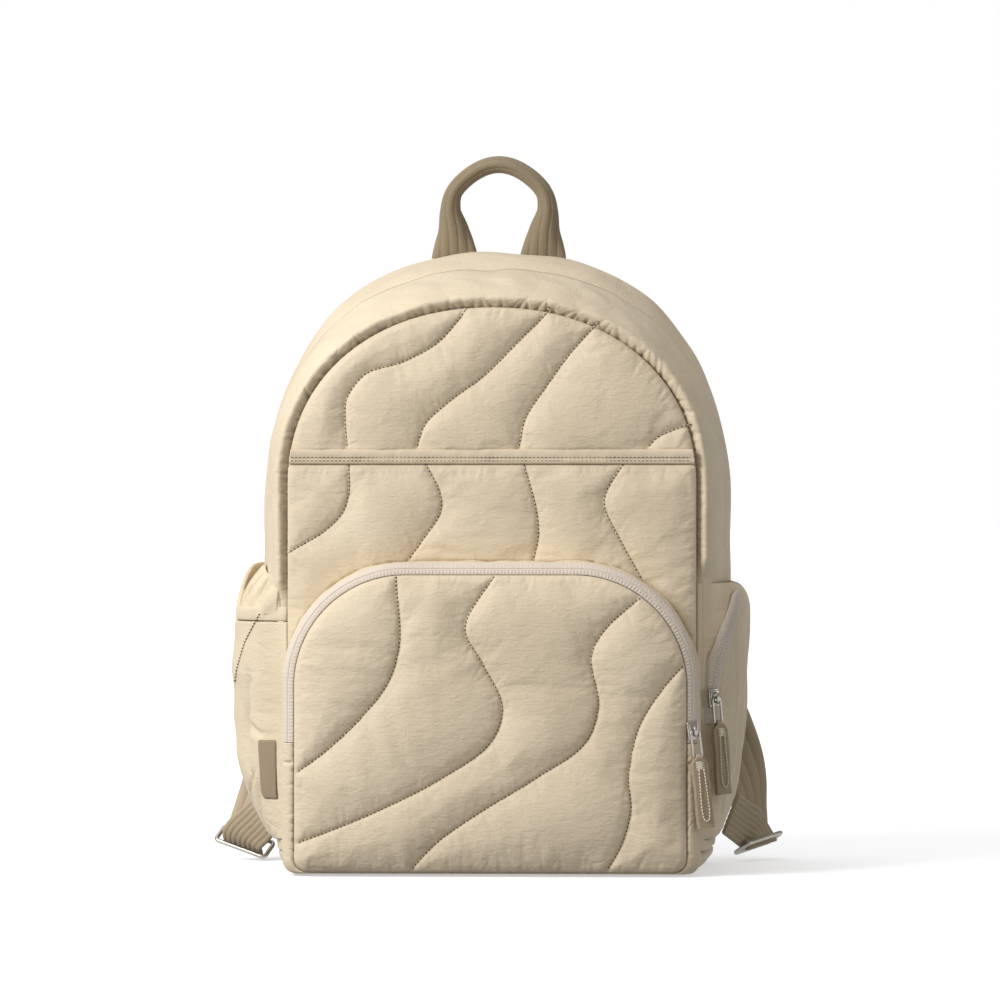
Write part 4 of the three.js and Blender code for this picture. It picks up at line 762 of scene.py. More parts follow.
# %% Back band, base and back
def back_rim(u, v):
    outside, t = there_and_back(v, 0.62)
    along = u * ARCH_LENGTH
    depth, puff = curve_at([(0.4525, 0.52), (0.62, 0.8), (0.8, 0.74), (0.93, 0.46), (1.0, 0.0)], t).T
    depth = np.where(outside, np.clip(depth, 0.4525, 1), 0.4525 + 0.5475 * t)
    size = body_size(depth, np.where(outside, puff, 0), np.where(outside, 0.0, 9.0))
    x, z = arch(size, share_at(along))
    y = -60 + DEPTH * depth
    at = np.column_stack([x, y, z])
    sunk = ruches(along, 70 * (1 - t), ARCH_LENGTH, (10, 26), (0.3, 0.8), (10, 26), (1.6, 3.2), 21, 0.5)
    sunk += ruches(along, 70 * t, ARCH_LENGTH, (12, 30), (0.2, 0.7), (12, 30), (2, 4), 22, 0.8)
    lift = np.where(outside, 0.8 * dents(at, 26, 5) - sunk, 0) * np.sin(math.pi * np.clip(t, 0, 1)) ** 0.5
    x, z = arch(size, share_at(along), lift)
    return np.column_stack([x, y, z])


show("back_rim", bent_shell(520, 40, back_rim), nylon, ["gusset_back_band"])


def base(u, v):
    depth, puff = curve_at([(0, 0), (0.07, 0.72), (0.17, 0.97), (0.3, 0.97), (0.45, 0.9), (0.62, 0.78),
                            (0.8, 0.72), (0.93, 0.44), (1, 0)], u).T
    flat_half = body_size(depth, puff)["foot"] - FOOT
    outside, t = there_and_back(v, 0.5)
    inset = np.where(outside, 0.0, 4.0)
    across = (2 * t - 1) * (flat_half + FOOT * 1.57)
    angle = np.clip(np.abs(across) - flat_half, 0, None) / FOOT
    x = np.sign(across) * (np.minimum(np.abs(across), flat_half) + (FOOT - inset) * np.sin(angle))
    z = FOOT - (FOOT - inset) * np.cos(angle)
    y = -60 + DEPTH * depth
    z += np.where(outside & (angle > 0.02), 0.35 * dents(np.column_stack([x, y, z]), 14, 8), 0)
    return np.column_stack([x, y, np.maximum(z, 0)])


show("base", bent_shell(110, 150, base), nylon, ["base_panel"], levels=1)


def back(u, v):
    size = body_size(1.0, 0.0)
    across = np.sin((2 * u - 1) * math.pi / 2)
    outside, up = there_and_back(v, 0.85)
    arch_part = (1 - np.minimum(1, np.abs(across) * 0.999) ** size["power"]) ** (1 / size["power"])
    top = size["shoulder"] + (size["height"] - size["shoulder"]) * arch_part
    foot = 4.3 + (FOOT - 4) * np.abs(across) ** 12
    z = foot + (top - foot) * up
    x = across * side_at(size, z) * 0.999
    edge = np.clip(np.minimum(up, 1 - up) * 4, 0, 0.5)
    rise = 8 * np.sqrt(np.clip(1 - across ** 4, 0, 1)) * np.sqrt(np.clip(1 - (2 * edge - 1) ** 2, 0, 1))
    y = 60.3 + np.where(outside, 2.6 + rise, 0)
    border = np.minimum(np.minimum(up, 1 - up) * (top - foot), (1 - np.abs(across)) * size["half"])
    folds = ruches(x + z, border, 600, (6, 16), (0.3, 0.9), (6, 16), (1.4, 3), 31, 0.3)
    uneven = 0.7 * dents(np.column_stack([x, y, z]), 30, 9) - folds
    y += np.where(outside, uneven * np.clip(rise / 4, 0, 1), 0)
    return np.column_stack([x, y, z])


show("back_padded", bent_shell(150, 220, back), nylon, ["back_panel"])

# %% [markdown]
# ## Edge of the slip pocket
# A strip of the same nylon is folded over the mouth of the slip pocket and held by two rows of
# stitches near its lower edge. Between the rows the strip lies flat, above them it is soft.

# %% Binding
def binding_strip(u, v):
    angle = 2 * math.pi * v
    cos, sin = np.cos(angle), np.sin(angle)
    z = MOUTH + BINDING / 2 * bent(cos, 0.5)
    y = -65.5 - 2.3 * bent(sin, 0.55)
    x = (2 * u - 1) * (front_half_at(z) - 0.2)
    facing = np.clip(sin, 0, 1)
    y += facing * 0.8 * np.exp(-((z - MOUTH + 1.4) / 0.8) ** 2)
    y += facing * 0.25 * dents(np.column_stack([x, y, z]), 7, 14)
    return np.column_stack([x, y, z])


binding = bent_shell(300, 48, binding_strip)
show("slip_binding_folded", binding, folded_nylon, ["slip_pocket_binding"])

# %% [markdown]
# ## Round the front pocket
# A wall of nylon stands up from the bag, then comes the zip, which leans forward to the panel's
# seam. It is a coil zip worn reversed: a smooth tape with fine ribs where the coil is woven in.

# %% Lines round the front pocket
def pocket_line(margin, foot_margin):
    """One closed line whose points pair up with those of the line at any other margin."""
    foot, corner = pocket_arcs(margin, foot_margin)
    half = POCKET_HALF + margin
    side_z = np.linspace(POCKET_BOTTOM + POCKET_FOOT, POCKET_TOP - POCKET_CORNER, 60)[1:-1]
    side = np.column_stack([np.full(len(side_z), -half), side_z])
    top_x = np.linspace(-(POCKET_HALF - POCKET_CORNER), 0, 30)[1:]
    top = np.column_stack([top_x, np.full(len(top_x), POCKET_TOP + margin)])
    left = np.vstack([foot, side, corner, top])
    line = np.vstack([left, (left[:-1] * (-1, 1))[::-1]])
    return np.vstack([line, line[:1]])


def run_along(guide, lines):
    """Turns a share of the guide's length into the paired place on each line."""
    length = np.r_[0, np.cumsum(np.linalg.norm(np.diff(guide, axis=0), axis=1))]
    index = np.arange(len(guide))

    def at(u):
        where = np.interp(u * length[-1], length, index)
        return [read_off(line, index, where) for line in lines]
    return at, length[-1]


seam_line = pocket_line(0.3, 0.3)
tape_at, ring_length = run_along(seam_line, [seam_line, pocket_line(ZIP_WIDTH, FOOT_GROW)])
ring_share = np.linspace(0, 1, 4001)
ring_z = tape_at(ring_share)[0][:, 1]
ZIP_END = 85.0
zip_from, zip_to = ring_share[ring_z > ZIP_END][[0, -1]]
print("pocket zip", round((zip_to - zip_from) * ring_length), "mm long")


def on_tape(u, across, raised):
    seam, edge = tape_at(u % 1.0)
    flat = seam + (edge - seam) * across[:, None]
    y = SEAM_PLANE + (ZIP_PLANE - SEAM_PLANE) * across - raised
    return np.column_stack([flat[:, 0], y, flat[:, 1]])


# %% Wall, zip and strip
def pocket_wall(u, v):
    faces = pocket_line(8.0, FOOT_GROW), pocket_line(5.6, FOOT_GROW - 2.4)
    outer, inner = run_along(faces[0], faces)[0](u)
    outside, t = there_and_back(v, 0.5)
    flat = np.where(outside[:, None], outer, inner)
    y = -66.1 - 20.3 * t
    at = np.column_stack([flat[:, 0], y, flat[:, 1]])
    middle = np.array([0.0, POCKET_TOP * 0.45])
    belly = np.where(outside, np.sin(math.pi * t) * (0.9 + 0.7 * dents(at, 12, 41)), 0)
    flat = flat + unit(flat - middle) * belly[:, None]
    return np.column_stack([flat[:, 0], y, np.maximum(flat[:, 1], 1.0)])


show("front_pocket_wall", bent_shell(420, 20, pocket_wall), nylon, ["front_pocket_gusset"])


def zip_ribs(distance, pitch):
    return 0.5 - 0.5 * np.cos(2 * math.pi * distance / pitch)


def front_zip(u, v):
    outside, t = there_and_back(v, 0.76)
    share = zip_from + (zip_to - zip_from) * u
    ribs = zip_ribs(share * ring_length, 2.2)
    crown = 1.5 * np.clip(1 - np.abs(2 * t - 1) ** 3.5, 0, 1)
    inner_ribs = 0.42 * ribs * np.exp(-((t - 0.24) / 0.15) ** 2)
    outer_ribs = 0.3 * ribs * np.exp(-((t - 0.8) / 0.1) ** 2)
    meeting = 0.55 * np.exp(-((t - 0.5) / 0.035) ** 2)
    raised = np.where(outside, crown - inner_ribs - outer_ribs - meeting, -ZIP_TAPE)
    return on_tape(share, t, raised)


show("front_zip_tape", bent_shell(1150, 40, front_zip), zip_tape, ["front_pocket_zip"])


def lower_strip(u, v):
    outside, t = there_and_back(v, 0.72)
    share = zip_to + 0.0005 + (1 - zip_to + zip_from - 0.001) * u
    length = (1 - zip_to + zip_from) * ring_length
    along = u * length
    crown = 2.2 * np.clip(1 - np.abs(2 * t - 1) ** 2.5, 0, 1)
    sunk = ruches(along, 7.7 * t, length, (3, 9), (0.3, 0.9), (3, 7.5), (0.8, 1.8), 51)
    cross_seam = sum(np.exp(-((along - at) / 0.9) ** 2) for at in (12.5, length - 12.5))
    raised = np.where(outside, crown - sunk - cross_seam * crown, -ZIP_TAPE)
    return on_tape(share, t, raised)


foot_strip = bent_shell(620, 26, lower_strip)
show("front_pocket_foot_strip", foot_strip, nylon, ["front_pocket_lower_strip"])

# %% [markdown]
# ## Side pockets
# On the left is a bottle pocket with an elastic mouth, on the right a zipped pocket. Both are
# cloth that stands off the side of the bag and is caught at its front, back and lower seams.
# Their folds follow lines that are drawn on the flat pocket: depth across, height up.

# %% Where the side pockets lie
SIDE_FRONT, SIDE_BACK, SIDE_FOOT, SIDE_CLOTH = 0.02, 0.86, 21.0, 3.0
SIDE_SPAN = DEPTH * (SIDE_BACK - SIDE_FRONT)
puff_depths = [0, 0.07, 0.17, 0.3, 0.45, 0.62, 0.8, 0.93, 1]
puff_shares = [0, 0.72, 0.97, 0.97, 0.9, 0.78, 0.72, 0.44, 0]


def wall_size(depth):
    return body_size(depth, np.interp(depth, puff_depths, puff_shares))


def dome(share):
    return np.sqrt(np.clip(1 - (2 * share - 1) ** 2, 0, 1))


def bottle_top(q):
    return 171 + 28 * ease((q - 0.45) / 0.55)


def zip_pocket_top(q):
    return np.full(len(q), 187.0)


bottle = {"side": -1, "bulge": 20.0, "closed": False, "top": bottle_top,
          "folds": [(0.26, 0.32, 0.07, 0.18, 0.72), (0.68, 0.2, 0.09, 0.1, 0.95)]}
zipped = {"side": 1, "bulge": 13.0, "closed": True, "top": zip_pocket_top,
          "folds": [(0.3, 0.16, 0.05, 0.1, 0.7)]}


def side_place(pocket, q, z, out):
    depth = SIDE_FRONT + (SIDE_BACK - SIDE_FRONT) * q
    size = wall_size(depth)
    up = np.clip((z - SIDE_FOOT) / (pocket["top"](q) - SIDE_FOOT), 0, 1)
    swell = np.sin(math.pi * np.clip(q, 0, 1)) ** 0.7
    low = np.sin(math.pi / 2 * np.clip(up / 0.4, 0, 1)) ** 0.9
    drawn_in = 1 - 0.2 * np.clip((up - 0.7) / 0.3, 0, 1)
    high = dome(np.clip((1 - up) * 4, 0, 0.5)) if pocket["closed"] else drawn_in
    fold = np.zeros(len(q))
    for at, deep, width, start, stop in pocket["folds"]:
        along = np.sin(math.pi * np.clip((up - start) / (stop - start), 0, 1)) ** 1.5
        fold += deep * along * np.exp(-((q - at) / width) ** 2)
    reach = 0.6 + 1.3 * (1 - q) + pocket["bulge"] * swell * low * high * (1 - fold)
    return np.column_stack([pocket["side"] * (side_at(size, z) + reach + out), -60 + DEPTH * depth, z])


def pressed(flat, folds):
    """Sum of folds, each a line on the flat pocket with a depth and a width, fading at its ends."""
    sunk = np.zeros(len(flat))
    for line, deep, width in folds:
        line = smooth_line(line, 2.0)
        gap, _, along = nearest_on([line], flat)
        length = np.linalg.norm(np.diff(line, axis=0), axis=1).sum()
        fade = np.sin(math.pi * np.clip(along / length, 0.02, 0.98)) ** 0.5
        sunk += deep * fade * np.exp(-(gap / width) ** 2)
    return sunk


def caught(placed, pocket, u):
    """Draws a pocket's front edge in and forwards, to where it is caught in the seam."""
    lip = np.clip(1 - u / 0.12, 0, 1) ** 2
    placed[:, 0] -= pocket["side"] * 4.5 * lip
    placed[:, 1] -= 5.0 * lip
    return placed


def side_panel(pocket, top, folds, seed):
    def place(u, v):
        q = (1 - np.cos(math.pi * u)) / 2
        outside, s = there_and_back(v, 0.55)
        z = SIDE_FOOT + (top(q) - SIDE_FOOT) * s
        flat = np.column_stack([q * SIDE_SPAN, z])
        border = np.minimum(flat[:, 0], SIDE_SPAN - flat[:, 0])
        sunk = pressed(flat, folds)
        sunk += ruches(z, border, 190, (5, 13), (0.3, 1.1), (6, 20), (1.2, 2.6), seed, 0.5)
        sunk += ruches(flat[:, 0], z - SIDE_FOOT, SIDE_SPAN, (4, 10), (0.3, 1.0), (6, 18), (1.2, 2.4),
                       seed + 1, 0.4)
        out = SIDE_CLOTH - sunk + 0.6 * dents(np.column_stack([flat, np.zeros(len(flat))]), 16, seed + 2)
        edge = np.clip(np.minimum(border / 3, (z - SIDE_FOOT) / 3), 0, 1)
        return caught(side_place(pocket, q, z, np.where(outside, 1.4 + (out - 1.4) * edge, 0)), pocket, u)
    return bent_shell(220, 300, place)


# %% Bottle pocket
bottle_folds = [
    ([(15, 128), (17, 112), (20, 96), (21, 78), (24, 60)], 6.0, 3.0),
    ([(4, 88), (10, 90), (17, 96)], 3.0, 2.4),
    ([(14, 64), (22, 58), (32, 50), (40, 40)], 4.0, 2.2),
    ([(9, 60), (14, 46), (18, 32), (20, 24)], 3.2, 1.8),
    ([(55, 150), (60, 120), (64, 90)], 2.2, 4.0),
    ([(80, 170), (76, 140), (78, 110)], 1.8, 4.0),
]
show("bottle_pocket", side_panel(bottle, lambda q: bottle_top(q) - 9.3, bottle_folds, 61), nylon,
               ["left_pocket_panel"])


def elastic_hem(u, v):
    q = (1 - np.cos(math.pi * u)) / 2
    angle = 2 * math.pi * v
    cos, sin = np.cos(angle), np.sin(angle)
    up, out = 0.5 + 0.5 * bent(cos, 0.7), 0.5 + 0.5 * bent(sin, 0.7)
    z = bottle_top(q) - 9 + 9 * up
    crease = ruches(q * SIDE_SPAN, 9 * (1 - up), SIDE_SPAN, (4.5, 9), (0.6, 1.5), (7, 14), (1.0, 2.0), 71, 0.25)
    return caught(side_place(bottle, q, z, -0.9 + 4.1 * out - crease * np.clip(sin, 0, 1)), bottle, u)


show("bottle_pocket_hem", bent_shell(420, 40, elastic_hem), nylon, ["left_pocket_hem"])


def bunched(u, v):
    q = 0.01 + 0.68 * u
    depth = SIDE_FRONT + (SIDE_BACK - SIDE_FRONT) * q
    size = wall_size(depth)
    outside, t = there_and_back(v, 0.7)
    along = u * 70
    mouth = side_place(bottle, q, np.full(len(q), 168.0), 0.5)[:, 0]
    height = 24 + 8 * np.clip(u * 1.6, 0, 1)
    z = 166 + height * t
    wall = -(side_at(size, z) + 0.9)
    open_share = np.cos(math.pi / 2 * np.clip(t, 0, 1)) ** 0.75
    x = wall + (mouth - wall) * open_share
    crease = ruches(along, 30 * (1 - t) * 0.9, 70, (4, 8.5), (2.4, 5.0), (26, 40), (1.2, 2.2), 81, 0.25)
    crease += ruches(along, 30 * t, 70, (3, 6), (0.8, 1.8), (10, 18), (1.0, 1.8), 82, 0.4)
    crease *= np.sin(math.pi * np.clip(t, 0, 1)) ** 0.6 * np.clip(1.25 - 0.6 * u, 0, 1)
    x = np.where(outside, np.minimum(x + crease, wall - 0.2), wall)
    lip = 3.5 * np.clip(1 - u / 0.2, 0, 1) ** 2
    y = -60 + DEPTH * depth - lip + np.where(outside, 1.4 * np.sin(z / 5 + along / 3), 0)
    return np.column_stack([x, y, z])


bunch = bent_shell(190, 70, bunched)
show("bottle_pocket_bunch", bunch, nylon, ["left_pocket_gather"], levels=1)


def label(u, v):
    q = 0.07 * u
    outside, s = there_and_back(v, 0.5)
    foot = 47 + 3.5 * np.clip((u - 0.75) / 0.25, 0, 1) ** 2
    top = 85 - 0.8 * np.clip((u - 0.85) / 0.15, 0, 1) ** 2
    z = foot + (top - foot) * s
    soft = 0.35 * np.sin(u * 3.0 + z / 9)
    rounding = np.sqrt(np.clip(1 - np.abs(2 * s - 1) ** 14, 0, 1)) * np.sqrt(np.clip(1 - u ** 14, 0, 1))
    return side_place(bottle, q, z, 3.6 + soft + np.where(outside, 1.2 * rounding, 0))


show("side_label_bare", bent_shell(48, 90, label), label_weave, ["side_label"])

# %% Zipped pocket and its zip
zipped_folds = [
    ([(14, 150), (22, 120), (20, 90), (18, 60)], 1.6, 2.0),
    ([(9, 70), (13, 50), (17, 34)], 1.8, 2.2),
    ([(40, 160), (52, 130), (48, 95), (56, 60)], 1.8, 2.6),
    ([(72, 165), (82, 130), (76, 90), (84, 50)], 1.8, 2.6),
]
show("zipped_side_pocket", side_panel(zipped, zip_pocket_top, zipped_folds, 91), nylon,
               ["right_pocket_panel"])

side_zip_line = [(140.3, 96), (140.3, 113.8), (141.8, 124.7), (144.0, 135.7), (148.0, 145.9),
                 (151.4, 156.3), (155.0, 168), (156.8, 176), (157.6, 181)]
side_zip_track = evenly(curve_at(side_zip_line, np.linspace(0, 1, 400)), 0.5)
side_zip_length = 0.5 * len(side_zip_track)
TAPE_HALF = 6.2


def on_zipped_front(x, z, aside, out):
    """The place that lies aside, along the cloth, of the point with this x and z on the pocket."""
    low, high = np.zeros(len(x)), np.full(len(x), 0.45)
    for _ in range(24):
        q = (low + high) / 2
        short_of = side_place(zipped, q, z, SIDE_CLOTH)[:, 0] < x
        low, high = np.where(short_of, q, low), np.where(short_of, high, q)
    q = (low + high) / 2
    for _ in range(8):
        here = np.maximum(q, 0)
        step = side_place(zipped, here + 0.01, z, SIDE_CLOTH) - side_place(zipped, here, z, SIDE_CLOTH)
        rate = np.hypot(step[:, 0], step[:, 1]) / 0.01
        q = q + aside / 8 / rate
    placed = side_place(zipped, np.maximum(q, 0), z, SIDE_CLOTH)
    placed[:, 0] += np.minimum(q, 0) * rate
    normal = np.column_stack([step[:, 1], -step[:, 0], np.zeros(len(q))]) / (0.01 * rate[:, None])
    return placed + normal * out[:, None]


def side_zip(u, v):
    index = np.arange(len(side_zip_track))
    at = u * index[-1]
    middle = read_off(side_zip_track, index, at)
    tangent = unit(read_off(np.gradient(side_zip_track, axis=0), index, at))
    across = np.column_stack([tangent[:, 1], -tangent[:, 0]])
    outside, t = there_and_back(v, 0.7)
    t = 2 * t - 1
    place = middle + np.column_stack([np.zeros(len(t)), across[:, 1] * t * TAPE_HALF])
    ribs = zip_ribs(u * side_zip_length, 1.8)
    crown = 1.3 * np.clip(1 - np.abs(t) ** 3, 0, 1)
    cut = 0.4 * ribs * np.exp(-((np.abs(t) - 0.3) / 0.15) ** 2) + 0.9 * np.exp(-(t / 0.05) ** 2)
    return on_zipped_front(place[:, 0], place[:, 1], across[:, 0] * t * TAPE_HALF,
                           0.6 + np.where(outside, 0.5 + crown - cut, -0.8))


show("side_zip_tape", bent_shell(900, 50, side_zip), zip_tape, ["right_pocket_zip"])

# %% [markdown]
# ## Webbing
# The handle, the straps and the adjusters are ribbed webbing. A grid is bent round its flat
# section and carried along the strap's middle line, with the ribs as rounded ridges and narrow
# grooves. The handle's middle is rolled up, so its section closes to a soft tube there.

# %% Webbing along a line
RIB_DEPTH, CROWN, HANDLE_ROLL = 0.75, 0.4, 5.0


def webbing(columns, rows, centre_at, across_at, width_at, thick_at, ribs, roll_at=None, forward=None):
    def place(u, v):
        centre = centre_at(u)
        tangent = unit(centre_at(np.clip(u + 0.002, 0, 1)) - centre_at(np.clip(u - 0.002, 0, 1)))
        across = across_at(u, tangent)
        if forward is None:
            outward = unit(np.cross(across, tangent))
            outward *= -1.0 if outward[:, 1].mean() > 0 else 1.0
        else:
            outward = np.tile(forward, (len(u), 1))
        front, s = there_and_back(v, 0.5)
        width, thick = width_at(u), thick_at(u)
        edge = np.clip(1 - np.abs(2 * s - 1) ** 12, 0, 1) ** 0.5
        ridge = np.abs(np.sin(math.pi * ribs * s)) ** 0.55
        body = (thick / 2) * edge + (CROWN * (1 - (2 * s - 1) ** 2) - RIB_DEPTH * (1 - ridge)) * edge
        out = np.where(front, body, -np.maximum((thick / 2 - 0.6 * RIB_DEPTH * (1 - ridge)) * edge, 0))
        c = (s - 0.5) * width
        if roll_at is None:
            x, y = c, out
        else:
            roll = roll_at(u)
            radius = width / np.maximum(roll, 0.02)
            sag = radius * (1 - np.sin(roll / 2) / np.maximum(roll / 2, 0.01))
            x = (radius + out) * np.sin(c / radius) * (1 - 0.28 * roll / HANDLE_ROLL)
            y = (radius + out) * np.cos(c / radius) - radius + sag
        return centre + across * x[:, None] + outward * y[:, None]
    return bent_shell(columns, rows, place)


# %% Carry handle
handle_rows = np.array([(1, 0, 0.02), (1.03, 0.28, 0.5), (1.1, 0.52, 0.86), (1.02, 0.7, 1), (0.72, 0.86, 1),
                        (0.33, 0.97, 1), (0, 1, 1)])
HANDLE_HALF, HANDLE_RISE = 29.4, 69.5 - (30 / HANDLE_ROLL + 1.6)
handle_half = [(-a * HANDLE_HALF, 60.0, BACK_HEIGHT + 0.6 + HANDLE_RISE * up) for a, up, _ in handle_rows]
handle_line = np.array(handle_half + [(-x, y, z) for x, y, z in handle_half[:-1][::-1]])


def handle_roll(u):
    at = np.minimum(u, 1 - u) * (len(handle_line) - 1)
    return HANDLE_ROLL * np.interp(at, np.arange(len(handle_rows)), handle_rows[:, 2])


def handle_across(u, tangent):
    return unit(np.cross(-BACKWARDS, tangent))


def always(value):
    return lambda u: np.full(len(u), value)


handle = webbing(260, 120, lambda u: curve_at(handle_line, u), handle_across, always(31.0), always(3.4), 5,
                 handle_roll, -BACKWARDS)
show("handle_webbing", handle, handle_grosgrain_painted_shade, ["carry_handle"])

# %% [markdown]
# The buckles lie on the floor behind the bag, each turned its own way. The shoulder strap comes
# down to its buckle, and the adjuster leaves it on the other side for the corner of the body.

# %% Buckles, straps and adjusters
BUCKLE_LENGTH, BUCKLE_WIDTH, BUCKLE_WIRE = 40.0, 17.0, 3.0
STRAP_WIDTH, STRAP_THICK, WEBBING_WIDTH, WEBBING_THICK = 56.0, 9.0, 30.0, 3.2
buckle_rows = {
    -1: (1.14, 0.1, 0.3, (0.9, 0.3, 0.3), (-0.33, 0.5, 0.5), 1, 0.965),
    1: (1.16, 0.45, 0.275, (0.62, 0.76, 0.16), (0.62, -0.61, 0.5), -1, 1.01),
}


def buckle_basis(side):
    across, behind, up, long, short, strap, spread = buckle_rows[side]
    long = unit(np.array(long) * (side, 1, 1))
    short = np.array(short) * (side, 1, 1)
    short = unit(short - long * (short @ long))
    through = np.cross(long, short)
    through = through if through[2] > 0 else -through
    centre = np.array([side * across * BACK_HALF, 60 + behind * BUCKLE_LENGTH, up * BUCKLE_LENGTH])
    return centre, long, short, through, strap, spread


def wire_ring(length, width, wire, corner):
    """A ring of round wire along a rounded rectangle, long in Z and flat in XZ."""
    places = []
    for k, (sx, sz) in enumerate(((1, 1), (-1, 1), (-1, -1), (1, -1))):
        angle = np.linspace(0, math.pi / 2, 10) + k * math.pi / 2
        x = sx * ((width - wire) / 2 - corner) + corner * np.cos(angle)
        z = sz * ((length - wire) / 2 - corner) + corner * np.sin(angle)
        places.append(np.column_stack([x, np.zeros(10), z]))
    line = np.vstack(places + [places[0][:1]])
    at, _ = run_along(line, [line])

    def place(u, v):
        tangent = unit(at((u + 0.002) % 1.0)[0] - at((u - 0.002) % 1.0)[0])
        normal = np.cross(tangent, BACKWARDS)
        cos, sin = np.cos(2 * math.pi * v)[:, None], np.sin(2 * math.pi * v)[:, None]
        return at(u)[0] + (wire / 2) * (cos * normal + sin * BACKWARDS)
    return bent_shell(160, 14, place)


strap_rows = np.array([(0.26, 0, 0.95, 0.72), (0.29, 0.03, 0.86, 0.9), (0.4, 0.62, 0.74, 1),
                       (0.56, 1, 0.56, 1), (0.76, 1, 0.37, 0.92), (0.98, 0.72, 0.215, 0.8),
                       (1.1, 0.36, 0.11, 0.64)])
BACK_FACE = 60.3 + 2.6 + 8 + CROWN + 0.3


def add_strap(side, word):
    centre, long, short, through, strap, spread = buckle_basis(side)
    path = [(side * a * spread * BACK_HALF, BACK_FACE + STRAP_THICK / 2 + 34 * behind, up * BACK_HEIGHT)
            for a, behind, up, _ in strap_rows]
    path.append(tuple(centre + short * strap * 1.75 + through * BUCKLE_WIRE))
    widths = np.append(STRAP_WIDTH * strap_rows[:, 3], WEBBING_WIDTH)

    def thin(u):
        return ease((u - 0.7) / 0.22)

    def across(u, tangent):
        flat = -unit(np.cross(tangent, BACKWARDS))
        return unit(flat + (-long * side - flat) * thin(u)[:, None])

    piece = webbing(300, 110, lambda u: curve_at(path, u), across,
                    lambda u: np.interp(u * (len(path) - 1), np.arange(len(path)), widths),
                    lambda u: STRAP_THICK + (WEBBING_THICK - STRAP_THICK) * thin(u), 5)
    show("strap_" + word, piece, grosgrain, ["shoulder_strap_" + word])

    layer = -strap * (WEBBING_THICK / 2 + CROWN + 0.6)
    start = centre + short * layer - through * BUCKLE_WIRE
    leave = centre + short * layer + through * BUCKLE_WIRE * 2
    size = body_size(0.93, 0.44)
    corner_x = side_at(size, 32.0) + 7.5 + WEBBING_THICK / 2 + CROWN
    end = np.array([side * corner_x, -60 + DEPTH * 0.93, 32.0])
    run = [start, leave, leave + (end - leave) * 0.55, end]
    last = unit(np.array([side * 0.3, 0.2, 0.9]))

    def adjuster_across(u, tangent):
        mixed = long + (last - long) * ease(u * 1.4 - 0.4)[:, None]
        return unit(mixed - tangent * (mixed * tangent).sum(axis=1, keepdims=True))

    piece = webbing(120, 150, lambda u: curve_at(run, u), adjuster_across, always(WEBBING_WIDTH),
                    always(WEBBING_THICK), 8)
    show("adjuster_" + word, piece, grosgrain, ["adjuster_webbing_" + word])

    ring = wire_ring(BUCKLE_LENGTH, BUCKLE_WIDTH, BUCKLE_WIRE, 2.5)
    columns = [short, -np.cross(short, long), long]
    turn = Matrix([[c[row] for c in columns] + [centre[row]] for row in range(3)] + [[0, 0, 0, 1]])
    bmesh.ops.transform(ring, matrix=turn, verts=ring.verts)
    show("buckle_" + word, ring, nickel, ["slide_buckle_" + word])


add_strap(-1, "left")
add_strap(1, "right")

# %% [markdown]
# ## Zip pulls
# Each slider carries a wire link, and on the link hangs a folded tab of webbing. The tab is held
# by a bartack under the link and a long double row of cream thread, the lightest thing here.

# %% Sliders, links and tabs
def slab(bm, size, middle, bevel):
    where = Matrix.Translation(middle) @ Matrix.Diagonal((*size, 1))
    cube = bmesh.ops.create_cube(bm, size=1.0, matrix=where)["verts"]
    edges = {e for v in cube for e in v.link_edges}
    bmesh.ops.bevel(bm, geom=list(edges), offset=bevel, affect="EDGES", segments=3, profile=0.5, material=-1)


def dash(bm, middle, along, size):
    """One stitch: a small long bead that lies along its seam."""
    along = Vector(along).normalized()
    turn = along.to_track_quat("X", "Z").to_matrix().to_4x4()
    bmesh.ops.create_icosphere(bm, subdivisions=1, radius=1.0,
                               matrix=Matrix.Translation(middle) @ turn @ Matrix.Diagonal((*size, 1)))


def bail(u, v):
    """The low arch of plate that holds the link on a slider."""
    line = [(0, -2.2, -3.0), (0, -4.6, -3.0), (0, -6.2, -1.8), (0, -6.6, 0), (0, -6.2, 1.8),
            (0, -4.6, 3.0), (0, -2.2, 3.0)]
    middle = curve_at(line, u)
    ahead = curve_at(line, np.clip(u + 0.01, 0, 1)) - middle
    normal = np.column_stack([np.zeros(len(u)), -ahead[:, 2], ahead[:, 1]])
    size = np.linalg.norm(normal, axis=1, keepdims=True)
    normal = np.where(size > 1e-6, normal / np.maximum(size, 1e-6), [0.0, 0.0, 1.0])
    cos, sin = np.cos(2 * math.pi * v)[:, None], np.sin(2 * math.pi * v)[:, None]
    return middle + 1.2 * cos * [1.0, 0.0, 0.0] + 0.7 * sin * normal


